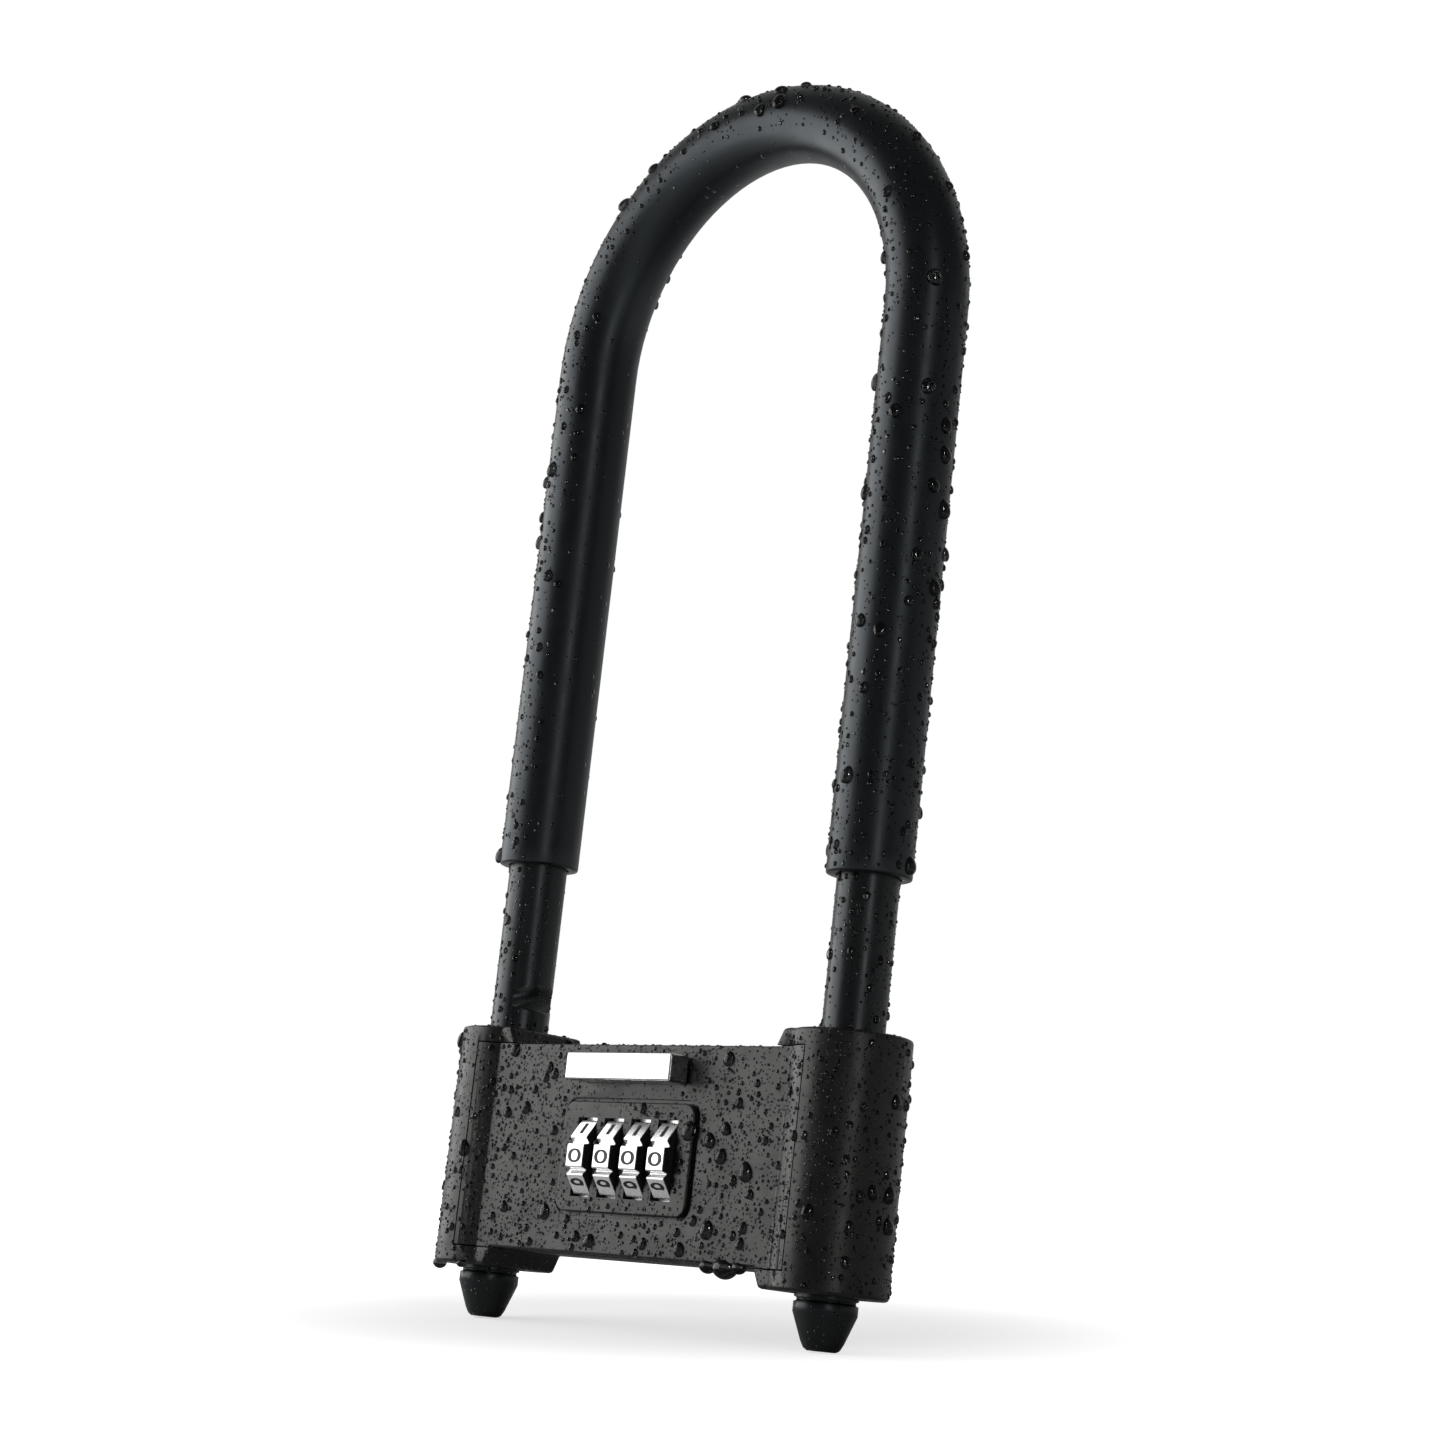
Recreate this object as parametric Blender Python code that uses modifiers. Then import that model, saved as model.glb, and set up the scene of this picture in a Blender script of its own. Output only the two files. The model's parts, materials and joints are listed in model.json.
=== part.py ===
"""Combination U-lock for a bicycle: a rubber-sleeved steel shackle in a cast lock body.

The legs of the shackle run along +Z, the front of the lock faces -Y, and the two blunt tips
stand at z = 0.  All the pieces hang on one empty that puts the middle of the outer box over
the origin.  Rest is the unlocked state: the bolt is drawn back and every wheel reads zero.
"""

import math

import bmesh
import bpy
from mathutils import Matrix

MM = 0.001
GAP = 0.3 * MM

# Shackle: a bent rod with blunt tips, two locking notches and a rubber sleeve
LEG_X = 47.4 * MM
ROD_RADIUS = 6.0 * MM
BEND_Z = 199.9 * MM
BEND_STEPS = 24
SLEEVE_RADIUS = 8.2 * MM
SLEEVE_BORE = ROD_RADIUS + GAP
SLEEVE_END_LEFT = 92.6 * MM
SLEEVE_END_RIGHT = 87.7 * MM
TIP_PROFILE = [  # height above the tip's end, and radius
    (0.0 * MM, 2.7 * MM),
    (0.5 * MM, 3.4 * MM),
    (1.6 * MM, 4.0 * MM),
    (6.8 * MM, 6.0 * MM),
    (8.6 * MM, 6.0 * MM),
    (8.8 * MM, 5.5 * MM),
    (9.3 * MM, 5.5 * MM),
    (9.5 * MM, 6.0 * MM),
]
NOTCH_FLAT = 2.9 * MM        # from the leg's axis to the floor of a notch
NOTCH_HALF_FLOOR = 1.6 * MM
NOTCH_LOWER_EDGE = -2.5 * MM
NOTCH_UPPER_EDGE = 3.6 * MM
NOTCH_SPACING = 29.0 * MM

# Lock body: two tubes round the legs, joined by a flat web
TUBE_RADIUS = 11.4 * MM
WEB_HALF_DEPTH = 9.6 * MM
FOLD_FILLET = 1.2 * MM
BODY_BOTTOM = 10.0 * MM
BODY_TOP = 58.0 * MM
WEB_BOTTOM = 13.6 * MM
WEB_TOP = 54.6 * MM
SHOULDER_X = 37.0 * MM       # inner edge of the raised shoulders, at the web
SHOULDER_SLANT = 1.7 * MM    # how far a shoulder leans back over its height
EDGE_ROUND = 0.7 * MM
LEG_BORE = ROD_RADIUS + GAP

# Front cover, let into the body between the crests of the tubes
COVER_HALF_WIDTH = 46.2 * MM
COVER_BACK_Y = -7.6 * MM
COVER_INSET = 0.12 * MM      # how far the cover stays below the web's edges
PANEL_HALF_WIDTH = 18.4 * MM
PANEL_BOTTOM = 21.7 * MM
PANEL_TOP = 43.2 * MM
PANEL_FRONT_Y = -10.4 * MM
PANEL_CORNER = 2.6 * MM
PANEL_GROOVE = 0.8 * MM
PANEL_GROOVE_DEPTH = 0.35 * MM
PANEL_EDGE_ROUND = 0.3 * MM

# Mechanism cavity behind the cover
CAVITY_HALF_WIDTH = 34.6 * MM
CAVITY_BOTTOM = 17.4 * MM
CAVITY_TOP = 52.4 * MM
CAVITY_BACK_Y = 7.0 * MM

# Number wheels
WHEELS = 4
WHEEL_PITCH = 7.6 * MM
WHEEL_RADIUS = 9.5 * MM
WHEEL_GROOVE_RADIUS = 8.3 * MM
WHEEL_WIDTH = 4.8 * MM
WHEEL_EDGE_ROUND = 0.2 * MM
WHEEL_Y = -3.6 * MM
WHEEL_Z = 32.3 * MM
DIGITS = 10
PAD_HALF_ANGLE = math.radians(13.0)
SLOT_HALF_WIDTH = 2.75 * MM
SLOT_HALF_HEIGHT = 7.7 * MM

# Code sleeves and spindle
CODE_SLEEVE_RADIUS = 4.5 * MM
CODE_SLEEVE_WIDTH = 5.2 * MM
CODE_SLEEVE_CUP = 3.6 * MM
CODE_SLEEVE_HOLE = 2.1 * MM
CODE_FLANGE = 1.2 * MM
KEYWAY_HALF_WIDTH = 0.9 * MM
KEYWAY_HEIGHT = 3.55 * MM
SPINDLE_RADIUS = 1.7 * MM
SPINDLE_OVERHANG = 6.0 * MM  # how far it reaches past the last wheel's sleeve
FIN_HEIGHT = 3.2 * MM
FIN_THICKNESS = 1.2 * MM
FIN_HALF_WIDTH = 0.55 * MM
FIN_OFFSET = 1.6 * MM

# Slider, carriage and bolt, which move together along X
SLIDER_HALF_WIDTH = 14.9 * MM
SLIDER_Z = 49.6 * MM
SLIDER_HALF_HEIGHT = 2.7 * MM
SLIDER_FRONT_Y = -14.8 * MM
SLIDER_EDGE_ROUND = 0.45 * MM
NECK_HALF_WIDTH = 6.0 * MM
NECK_HALF_HEIGHT = 1.3 * MM
BOLT_TRAVEL = 4.0 * MM
BOLT_Z = 35.5 * MM
BOLT_TIP_X = -40.2 * MM
BOLT_HALF_HEIGHT = 1.3 * MM
BOLT_HALF_DEPTH = 2.5 * MM
BOLT_EDGE_ROUND = 0.3 * MM
ARM_LEFT_X = -25.0 * MM
ARM_RIGHT_X = -21.6 * MM
CARRIAGE_FRONT_Y = -7.2 * MM
CARRIAGE_BACK_Y = -5.0 * MM
CARRIAGE_FOOT_Z = 28.5 * MM
CARRIAGE_ARM_TOP_Z = 39.5 * MM
CARRIAGE_BAR_BOTTOM_Z = 45.6 * MM
CARRIAGE_BAR_TOP_Z = 52.0 * MM

# Screws
SCREW_RADIUS = 1.2 * MM
SCREW_HEAD_RADIUS = 2.1 * MM
SCREW_HEAD_LENGTH = 1.4 * MM
SCREW_START_Y = 0.6 * MM     # where the threaded end of a cover screw lies
SCREW_SOCKET_RADIUS = 1.1 * MM
POST_RADIUS = 2.2 * MM
POST_INSET_X = 3.0 * MM      # from the cavity's walls to the axis of a post
POST_INSET_Z = 2.6 * MM
SLIDER_SCREW_X = (-4.0 * MM, 4.0 * MM)
SLIDER_SCREW_RADIUS = 0.7 * MM
SLIDER_SCREW_HEAD_RADIUS = 1.4 * MM
SLIDER_SCREW_HEAD_LENGTH = 1.0 * MM

# Inner frame and its leaf spring
CRADLE_WALL = 1.8 * MM
DETENT_THICKNESS = 0.4 * MM
DETENT_HEIGHT = 8.0 * MM     # of its clamped strip, down from the cavity's top
DETENT_REACH = 3.2 * MM      # how far a finger's toe bends towards its wheel
DETENT_TOE_Z = WHEEL_Z + 6.6 * MM
FINGER_HALF_WIDTH = 1.4 * MM

# Bushes that guide the legs at both ends of each bore
BUSH_RADIUS = 7.1 * MM
BUSH_LENGTH = 7.0 * MM
BUSH_RECESS = 0.8 * MM

# The outer box runs from the slider's front to the tubes' backs; its middle is the origin
FRAME_SHIFT_Y = -(SLIDER_FRONT_Y + TUBE_RADIUS) / 2

# How many sides round shapes have
ROUND = 32
MEDIUM_ROUND = 24
SMALL_ROUND = 20
TINY_ROUND = 16
HEXAGON = 6
TUBE_STEPS = 36
FILLET_STEPS = 4

PAINT_BLACK = (0.012, 0.012, 0.013, 1.0)
RUBBER_BLACK = (0.010, 0.010, 0.011, 1.0)
CHROME = (0.78, 0.78, 0.80, 1.0)
STEEL = (0.45, 0.45, 0.46, 1.0)
BRASS = (0.62, 0.45, 0.18, 1.0)
NYLON_BLACK = (0.02, 0.02, 0.02, 1.0)


# ---------------------------------------------------------------- scene and helpers

def clear_scene():
    """Remove every object, so the script can run again in an open file."""
    for old in list(bpy.data.objects):
        bpy.data.objects.remove(old, do_unlink=True)


def make_collection(name):
    """Make a collection of this name under the scene."""
    collection = bpy.data.collections.new(name)
    bpy.context.scene.collection.children.link(collection)
    return collection


def make_material(name, colour, roughness, metallic):
    """A Principled material with a plain colour."""
    material = bpy.data.materials.new(name)
    material.use_nodes = True
    shader = material.node_tree.nodes["Principled BSDF"]
    shader.inputs["Base Color"].default_value = colour
    shader.inputs["Roughness"].default_value = roughness
    shader.inputs["Metallic"].default_value = metallic
    return material


def add_piece(name, mesh, material, location=(0.0, 0.0, 0.0)):
    """Put a mesh into the lock's collection as a piece of the lock."""
    piece = bpy.data.objects.new(name, mesh)
    piece.data.materials.clear()
    piece.data.materials.append(material)
    piece.location = location
    piece.parent = frame_empty
    lock_collection.objects.link(piece)
    return piece


def add_cutter(name, mesh, location=(0.0, 0.0, 0.0)):
    """Put a mesh into the cutters' collection, hidden from renders."""
    cutter = bpy.data.objects.new(name, mesh)
    cutter.location = location
    cutter.parent = frame_empty
    cutter.hide_render = True
    cutter.display_type = "WIRE"
    cutter_collection.objects.link(cutter)
    return cutter


def boolean(piece, operation, tool):
    """Add an exact Boolean of the piece with a tool object."""
    modifier = piece.modifiers.new(operation.lower() + "_" + tool.name, "BOOLEAN")
    modifier.operation = operation
    modifier.solver = "EXACT"
    modifier.object = tool


def cut(piece, *tools):
    """Cut each tool out of the piece."""
    for tool in tools:
        boolean(piece, "DIFFERENCE", tool)


def round_edges(piece, width, segments=2, angle=35.0):
    """Bevel the edges that are sharper than the angle."""
    modifier = piece.modifiers.new("round_edges", "BEVEL")
    modifier.width = width
    modifier.segments = segments
    modifier.limit_method = "ANGLE"
    modifier.angle_limit = math.radians(angle)
    modifier.use_clamp_overlap = False


def smooth(piece, angle=32.0):
    """Shade round surfaces smooth and keep the edges sharp."""
    piece.data.shade_smooth()
    piece.data.set_sharp_from_angle(angle=math.radians(angle))


def finished_mesh(name, bm):
    """Turn a bmesh into a mesh with this name."""
    bmesh.ops.recalc_face_normals(bm, faces=bm.faces)
    mesh = bpy.data.meshes.new(name)
    bm.to_mesh(mesh)
    bm.free()
    return mesh


def box_mesh(name, low, high):
    """A box between two corners."""
    bm = bmesh.new()
    bmesh.ops.create_cube(bm, size=1.0)
    size = [b - a for a, b in zip(low, high)]
    centre = [(a + b) / 2 for a, b in zip(low, high)]
    bmesh.ops.scale(bm, vec=size, verts=bm.verts)
    bmesh.ops.translate(bm, vec=centre, verts=bm.verts)
    return finished_mesh(name, bm)


def cylinder_mesh(name, radius, start, end, axis="Z", segments=ROUND, centre=(0.0, 0.0)):
    """A cylinder along an axis, from start to end, about a centre in the other two axes."""
    bm = bmesh.new()
    bmesh.ops.create_cone(bm, cap_ends=True, segments=segments, radius1=radius,
                          radius2=radius, depth=abs(end - start))
    middle = (start + end) / 2
    if axis == "X":
        turn = Matrix.Rotation(math.radians(90), 4, "Y")
        place = (middle, centre[0], centre[1])
    elif axis == "Y":
        turn = Matrix.Rotation(math.radians(90), 4, "X")
        place = (centre[0], middle, centre[1])
    else:
        turn = Matrix.Identity(4)
        place = (centre[0], centre[1], middle)
    bmesh.ops.transform(bm, matrix=Matrix.Translation(place) @ turn, verts=bm.verts)
    return finished_mesh(name, bm)


def outline_mesh(name, points, start, end, axis="Z"):
    """Extrude a closed flat outline from start to end along an axis.

    Along Z the points are (x, y); along Y they are (x, z); along X they are (y, z)."""
    curve = bpy.data.curves.new(name + "_outline", "CURVE")
    curve.dimensions = "2D"
    curve.fill_mode = "BOTH"
    curve.extrude = (end - start) / 2
    spline = curve.splines.new("POLY")
    spline.points.add(len(points) - 1)
    for point, (u, v) in zip(spline.points, points):
        point.co = (u, v, 0.0, 1.0)
    spline.use_cyclic_u = True
    mesh = mesh_from_curve(name, curve)
    turns = {
        "Z": Matrix.Identity(4),
        "Y": Matrix.Rotation(math.radians(90), 4, "X"),
        "X": Matrix(((0, 0, 1, 0), (1, 0, 0, 0), (0, 1, 0, 0), (0, 0, 0, 1))),
    }
    shift = {"X": (1, 0, 0), "Y": (0, 1, 0), "Z": (0, 0, 1)}[axis]
    middle = (start + end) / 2
    mesh.transform(Matrix.Translation([middle * s for s in shift]) @ turns[axis])
    return mesh


def mesh_from_curve(name, curve):
    """Evaluate a curve, weld its caps, join its coplanar faces, and give the mesh."""
    holder = bpy.data.objects.new(name + "_curve", curve)
    cutter_collection.objects.link(holder)
    graph = bpy.context.evaluated_depsgraph_get()
    mesh = bpy.data.meshes.new_from_object(holder.evaluated_get(graph))
    mesh.name = name
    bpy.data.objects.remove(holder, do_unlink=True)
    bm = bmesh.new()
    bm.from_mesh(mesh)
    bmesh.ops.remove_doubles(bm, verts=bm.verts, dist=0.005 * MM)
    bmesh.ops.dissolve_limit(bm, angle_limit=math.radians(0.2), verts=bm.verts,
                             edges=bm.edges)
    bmesh.ops.recalc_face_normals(bm, faces=bm.faces)
    bm.to_mesh(mesh)
    bm.free()
    return mesh


def swept_curve(name, path, radii, sides, caps=True):
    """A round bar along a path, whose radius follows the list of radii."""
    curve = bpy.data.curves.new(name, "CURVE")
    curve.dimensions = "3D"
    curve.bevel_depth = 1.0 * MM
    curve.bevel_resolution = (sides - 4) // 2
    curve.use_fill_caps = caps
    spline = curve.splines.new("POLY")
    spline.points.add(len(path) - 1)
    for point, place, radius in zip(spline.points, path, radii):
        point.co = (*place, 1.0)
        point.radius = radius / MM
    return curve


def arc(centre, radius, start, end, steps):
    """Points on an arc, angles in radians, both ends included."""
    points = []
    for step in range(steps + 1):
        angle = start + (end - start) * step / steps
        points.append((centre[0] + radius * math.cos(angle),
                       centre[1] + radius * math.sin(angle)))
    return points


def rounded_rectangle(half_width, bottom, top, corner, steps=5):
    """The outline of a rectangle with round corners."""
    quarter = math.pi / 2
    corners = [
        ((half_width - corner, bottom + corner), -quarter),
        ((half_width - corner, top - corner), 0.0),
        ((-half_width + corner, top - corner), quarter),
        ((-half_width + corner, bottom + corner), 2 * quarter),
    ]
    points = []
    for centre, start in corners:
        points += arc(centre, corner, start, start + quarter, steps)
    return points


def wheel_x(index):
    """Where the middle of a wheel lies along X; the first wheel is on the left."""
    return (index - (WHEELS - 1) / 2) * WHEEL_PITCH


# ---------------------------------------------------------------- shackle

def bend_path(start_z, end_z):
    """The right leg from start_z, round the bend, and down the left leg to end_z."""
    bend = arc((0.0, BEND_Z), LEG_X, 0.0, math.pi, BEND_STEPS)
    points = [(LEG_X, 0.0, start_z)]
    points += [(x, 0.0, z) for x, z in bend]
    points.append((-LEG_X, 0.0, end_z))
    return points


def notch_cutter(name, height):
    """A prism across the left leg that mills one notch with sloping ends."""
    floor = -LEG_X + NOTCH_FLAT
    outer = -LEG_X + ROD_RADIUS
    reach = 2 * (outer - floor)
    lower_slope = (NOTCH_LOWER_EDGE + NOTCH_HALF_FLOOR) * reach / (outer - floor)
    upper_slope = (NOTCH_UPPER_EDGE - NOTCH_HALF_FLOOR) * reach / (outer - floor)
    points = [
        (floor, height - NOTCH_HALF_FLOOR),
        (floor + reach, height - NOTCH_HALF_FLOOR + lower_slope),
        (floor + reach, height + NOTCH_HALF_FLOOR + upper_slope),
        (floor, height + NOTCH_HALF_FLOOR),
    ]
    mesh = outline_mesh(name, points, -ROD_RADIUS - MM, ROD_RADIUS + MM, axis="Y")
    return add_cutter(name, mesh)


def build_shackle_rod(material):
    """The steel rod: both legs, the bend, the tips and the two notches."""
    rise = [(LEG_X, 0.0, z) for z, _ in TIP_PROFILE]
    fall = [(-LEG_X, 0.0, z) for z, _ in reversed(TIP_PROFILE)]
    bend = bend_path(BEND_Z, BEND_Z)[1:-1]
    path = rise + bend + fall
    tips = [radius for _, radius in TIP_PROFILE]
    radii = tips + [ROD_RADIUS] * len(bend) + tips[::-1]
    curve = swept_curve("rod_path", path, radii, sides=MEDIUM_ROUND)
    rod = add_piece("shackle_rod", mesh_from_curve("shackle_rod", curve), material)
    for name, height in (("lower_notch", BOLT_Z), ("upper_notch", BOLT_Z + NOTCH_SPACING)):
        cut(rod, notch_cutter(name, height))
    smooth(rod)


def build_shackle_sleeve(material):
    """The rubber tube over the bend and the upper legs."""
    path = bend_path(SLEEVE_END_RIGHT, SLEEVE_END_LEFT)
    curve = swept_curve("sleeve_path", path, [SLEEVE_RADIUS] * len(path), sides=MEDIUM_ROUND, caps=False)
    sleeve = add_piece("shackle_sleeve", mesh_from_curve("shackle_sleeve", curve), material)
    wall = sleeve.modifiers.new("wall", "SOLIDIFY")
    wall.thickness = SLEEVE_RADIUS - SLEEVE_BORE
    wall.offset = -1.0
    smooth(sleeve)


# ---------------------------------------------------------------- lock body

def body_section():
    """The outline of the lock body seen from above: two tubes and the web, with fillets."""
    fillet_y = WEB_HALF_DEPTH + FOLD_FILLET
    reach = TUBE_RADIUS + FOLD_FILLET
    fillet_x = LEG_X - math.sqrt(reach ** 2 - fillet_y ** 2)
    fold = math.atan2(fillet_y, LEG_X - fillet_x)
    quarter = math.pi / 2
    front_fillet = arc((fillet_x, -fillet_y), FOLD_FILLET, quarter, fold,
                       FILLET_STEPS)
    tube = arc((LEG_X, 0.0), TUBE_RADIUS, fold - math.pi, math.pi - fold,
               TUBE_STEPS)
    back_fillet = [(x, -y) for x, y in reversed(front_fillet)]
    right = front_fillet + tube[1:-1] + back_fillet
    left = [(-x, y) for x, y in reversed(right)]
    return right + left


def web_gap(name, at_web, at_body):
    """The space between the two shoulders, above or below the web."""
    lean = SHOULDER_SLANT * 2
    far = at_web + 2 * (at_body - at_web)
    points = [
        (-SHOULDER_X, at_web),
        (SHOULDER_X, at_web),
        (SHOULDER_X + lean, far),
        (-SHOULDER_X - lean, far),
    ]
    mesh = outline_mesh(name, points, -2 * TUBE_RADIUS, 2 * TUBE_RADIUS, axis="Y")
    return add_cutter(name, mesh)


def build_body_form(name, material):
    """The outer form that the housing and the cover share, with rounded edges."""
    form = add_piece(name, outline_mesh(name, body_section(), BODY_BOTTOM, BODY_TOP), material)
    cut(form, web_gap(name + "_gap_above", WEB_TOP, BODY_TOP))
    cut(form, web_gap(name + "_gap_below", WEB_BOTTOM, BODY_BOTTOM))
    round_edges(form, EDGE_ROUND)
    return form


def cover_space(name, clearance):
    """The block of the body's front that the cover fills."""
    inset = COVER_INSET - clearance
    low = (-COVER_HALF_WIDTH - clearance, -2 * TUBE_RADIUS, WEB_BOTTOM + inset)
    high = (COVER_HALF_WIDTH + clearance, COVER_BACK_Y + clearance, WEB_TOP - inset)
    return add_cutter(name, box_mesh(name, low, high))


def leg_bores(name, side):
    """The bore for one leg, with a wider seat for a bush at each end."""
    centre = (side * LEG_X, 0.0)
    seat = BUSH_RADIUS + GAP
    seat_depth = BUSH_RECESS + BUSH_LENGTH + GAP
    return [
        add_cutter(name + "_bore", cylinder_mesh(
            name + "_bore", LEG_BORE, BODY_BOTTOM - MM, BODY_TOP + MM, centre=centre)),
        add_cutter(name + "_upper_seat", cylinder_mesh(
            name + "_upper_seat", seat, BODY_TOP - seat_depth, BODY_TOP + MM, centre=centre)),
        add_cutter(name + "_lower_seat", cylinder_mesh(
            name + "_lower_seat", seat, BODY_BOTTOM - MM, BODY_BOTTOM + seat_depth,
            centre=centre)),
    ]


def screw_places():
    """Where the cover screws stand: (x, z) near the four corners of the web."""
    across = CAVITY_HALF_WIDTH - POST_INSET_X
    return [(sx * across, z) for sx in (-1, 1)
            for z in (CAVITY_BOTTOM + POST_INSET_Z, CAVITY_TOP - POST_INSET_Z)]


def build_housing(material):
    """The cast body: tubes, web, the cover's seat, the cavity and the leg bores."""
    housing = build_body_form("lock_housing", material)
    cut(housing, cover_space("cover_seat", GAP))
    cavity = box_mesh("cavity", (-CAVITY_HALF_WIDTH, COVER_BACK_Y - MM, CAVITY_BOTTOM),
                      (CAVITY_HALF_WIDTH, CAVITY_BACK_Y, CAVITY_TOP))
    cut(housing, add_cutter("cavity", cavity))
    for name, side in (("left", -1), ("right", 1)):
        cut(housing, *leg_bores(name, side))
    channel = box_mesh(
        "bolt_channel",
        (-LEG_X + NOTCH_FLAT, -BOLT_HALF_DEPTH - GAP, BOLT_Z - BOLT_HALF_HEIGHT - GAP),
        (-CAVITY_HALF_WIDTH + MM, BOLT_HALF_DEPTH + GAP, BOLT_Z + BOLT_HALF_HEIGHT + GAP))
    cut(housing, add_cutter("bolt_channel", channel))
    for index, (x, z) in enumerate(screw_places()):
        hole = cylinder_mesh(f"screw_hole_{index}", SCREW_RADIUS + GAP, 0.0,
                             WEB_HALF_DEPTH + MM, axis="Y", segments=SMALL_ROUND, centre=(x, z))
        head = cylinder_mesh(f"screw_sink_{index}", SCREW_HEAD_RADIUS + GAP,
                             WEB_HALF_DEPTH - SCREW_HEAD_LENGTH - GAP, WEB_HALF_DEPTH + MM,
                             axis="Y", segments=MEDIUM_ROUND, centre=(x, z))
        cut(housing, add_cutter(f"screw_hole_{index}", hole),
            add_cutter(f"screw_sink_{index}", head))
    smooth(housing)


def wheel_cutters(index):
    """The slot in the panel for one wheel, and the round relief behind it."""
    x = wheel_x(index)
    slot = box_mesh(f"slot_{index}",
                    (x - SLOT_HALF_WIDTH, -2 * TUBE_RADIUS, WHEEL_Z - SLOT_HALF_HEIGHT),
                    (x + SLOT_HALF_WIDTH, WHEEL_Y, WHEEL_Z + SLOT_HALF_HEIGHT))
    relief = cylinder_mesh(f"relief_{index}", WHEEL_RADIUS + 2 * GAP, x - SLOT_HALF_WIDTH,
                           x + SLOT_HALF_WIDTH, axis="X",
                           centre=(WHEEL_Y, WHEEL_Z))
    return [add_cutter(f"slot_{index}", slot), add_cutter(f"relief_{index}", relief)]


def build_cover(material):
    """The front cover with its raised panel, wheel slots, slider slot and screw posts."""
    cover = build_body_form("front_cover", material)
    boolean(cover, "INTERSECT", cover_space("cover_block", 0.0))
    groove = rounded_rectangle(
        PANEL_HALF_WIDTH + PANEL_GROOVE, PANEL_BOTTOM - PANEL_GROOVE,
        PANEL_TOP + PANEL_GROOVE, PANEL_CORNER + PANEL_GROOVE)
    groove_floor = -WEB_HALF_DEPTH + PANEL_GROOVE_DEPTH
    cut(cover, add_cutter("panel_groove", outline_mesh(
        "panel_groove", groove, -TUBE_RADIUS, groove_floor, axis="Y")))
    panel = add_cutter("panel", outline_mesh("panel", rounded_rectangle(
        PANEL_HALF_WIDTH, PANEL_BOTTOM, PANEL_TOP, PANEL_CORNER),
        PANEL_FRONT_Y, COVER_BACK_Y - MM / 2, axis="Y"))
    round_edges(panel, PANEL_EDGE_ROUND)
    boolean(cover, "UNION", panel)
    for index in range(WHEELS):
        cut(cover, *wheel_cutters(index))
    travel_slot = box_mesh(
        "slider_slot",
        (-NECK_HALF_WIDTH - BOLT_TRAVEL - GAP, -2 * TUBE_RADIUS,
         SLIDER_Z - NECK_HALF_HEIGHT - GAP),
        (NECK_HALF_WIDTH + GAP, 0.0, SLIDER_Z + NECK_HALF_HEIGHT + GAP))
    cut(cover, add_cutter("slider_slot", travel_slot))
    add_cover_posts(cover)
    smooth(cover)


def add_cover_posts(cover):
    """Join four threaded posts to the back of the cover."""
    for index, (x, z) in enumerate(screw_places()):
        post = cylinder_mesh(f"post_{index}", POST_RADIUS, COVER_BACK_Y - MM / 2,
                             CAVITY_BACK_Y - GAP, axis="Y", segments=MEDIUM_ROUND, centre=(x, z))
        hole = cylinder_mesh(f"post_hole_{index}", SCREW_RADIUS + GAP / 2, 0.0,
                             TUBE_RADIUS, axis="Y", segments=SMALL_ROUND, centre=(x, z))
        boolean(cover, "UNION", add_cutter(f"post_{index}", post))
        cut(cover, add_cutter(f"post_hole_{index}", hole))


def build_cover_screws(material):
    """Four socket screws, driven in from the back."""
    for index, (x, z) in enumerate(screw_places()):
        name = f"cover_screw_{index + 1}"
        screw = add_piece(name, cylinder_mesh(
            name, SCREW_RADIUS, SCREW_START_Y, WEB_HALF_DEPTH - MM, axis="Y", segments=SMALL_ROUND,
            centre=(x, z)), material)
        head = cylinder_mesh(name + "_head", SCREW_HEAD_RADIUS,
                             WEB_HALF_DEPTH - SCREW_HEAD_LENGTH, WEB_HALF_DEPTH - GAP,
                             axis="Y", segments=MEDIUM_ROUND, centre=(x, z))
        socket = cylinder_mesh(name + "_socket", SCREW_SOCKET_RADIUS, WEB_HALF_DEPTH - MM,
                               WEB_HALF_DEPTH + MM, axis="Y", segments=HEXAGON, centre=(x, z))
        boolean(screw, "UNION", add_cutter(name + "_head", head))
        cut(screw, add_cutter(name + "_socket", socket))
        smooth(screw)


def build_bushes(material):
    """Plastic bushes that guide the legs, two in each tube."""
    for side_name, side in (("left", -1), ("right", 1)):
        for level, start in (("upper", BODY_TOP - BUSH_RECESS - BUSH_LENGTH),
                             ("lower", BODY_BOTTOM + BUSH_RECESS)):
            name = f"leg_bush_{level}_{side_name}"
            centre = (side * LEG_X, 0.0)
            bush = add_piece(name, cylinder_mesh(
                name, BUSH_RADIUS, start, start + BUSH_LENGTH, centre=centre), material)
            bore = cylinder_mesh(name + "_bore", LEG_BORE, start - MM,
                                 start + BUSH_LENGTH + MM, centre=centre)
            cut(bush, add_cutter(name + "_bore", bore))
            smooth(bush)


# ---------------------------------------------------------------- number wheels

def wheel_outline():
    """The edge of a number wheel: ten flat pads with V grooves between them."""
    step = 2 * math.pi / DIGITS
    points = []
    for digit in range(DIGITS):
        middle = math.pi + digit * step
        for angle, radius in ((middle - PAD_HALF_ANGLE, WHEEL_RADIUS),
                              (middle + PAD_HALF_ANGLE, WHEEL_RADIUS),
                              (middle + step / 2, WHEEL_GROOVE_RADIUS)):
            points.append((radius * math.cos(angle), radius * math.sin(angle)))
    return points


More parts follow.
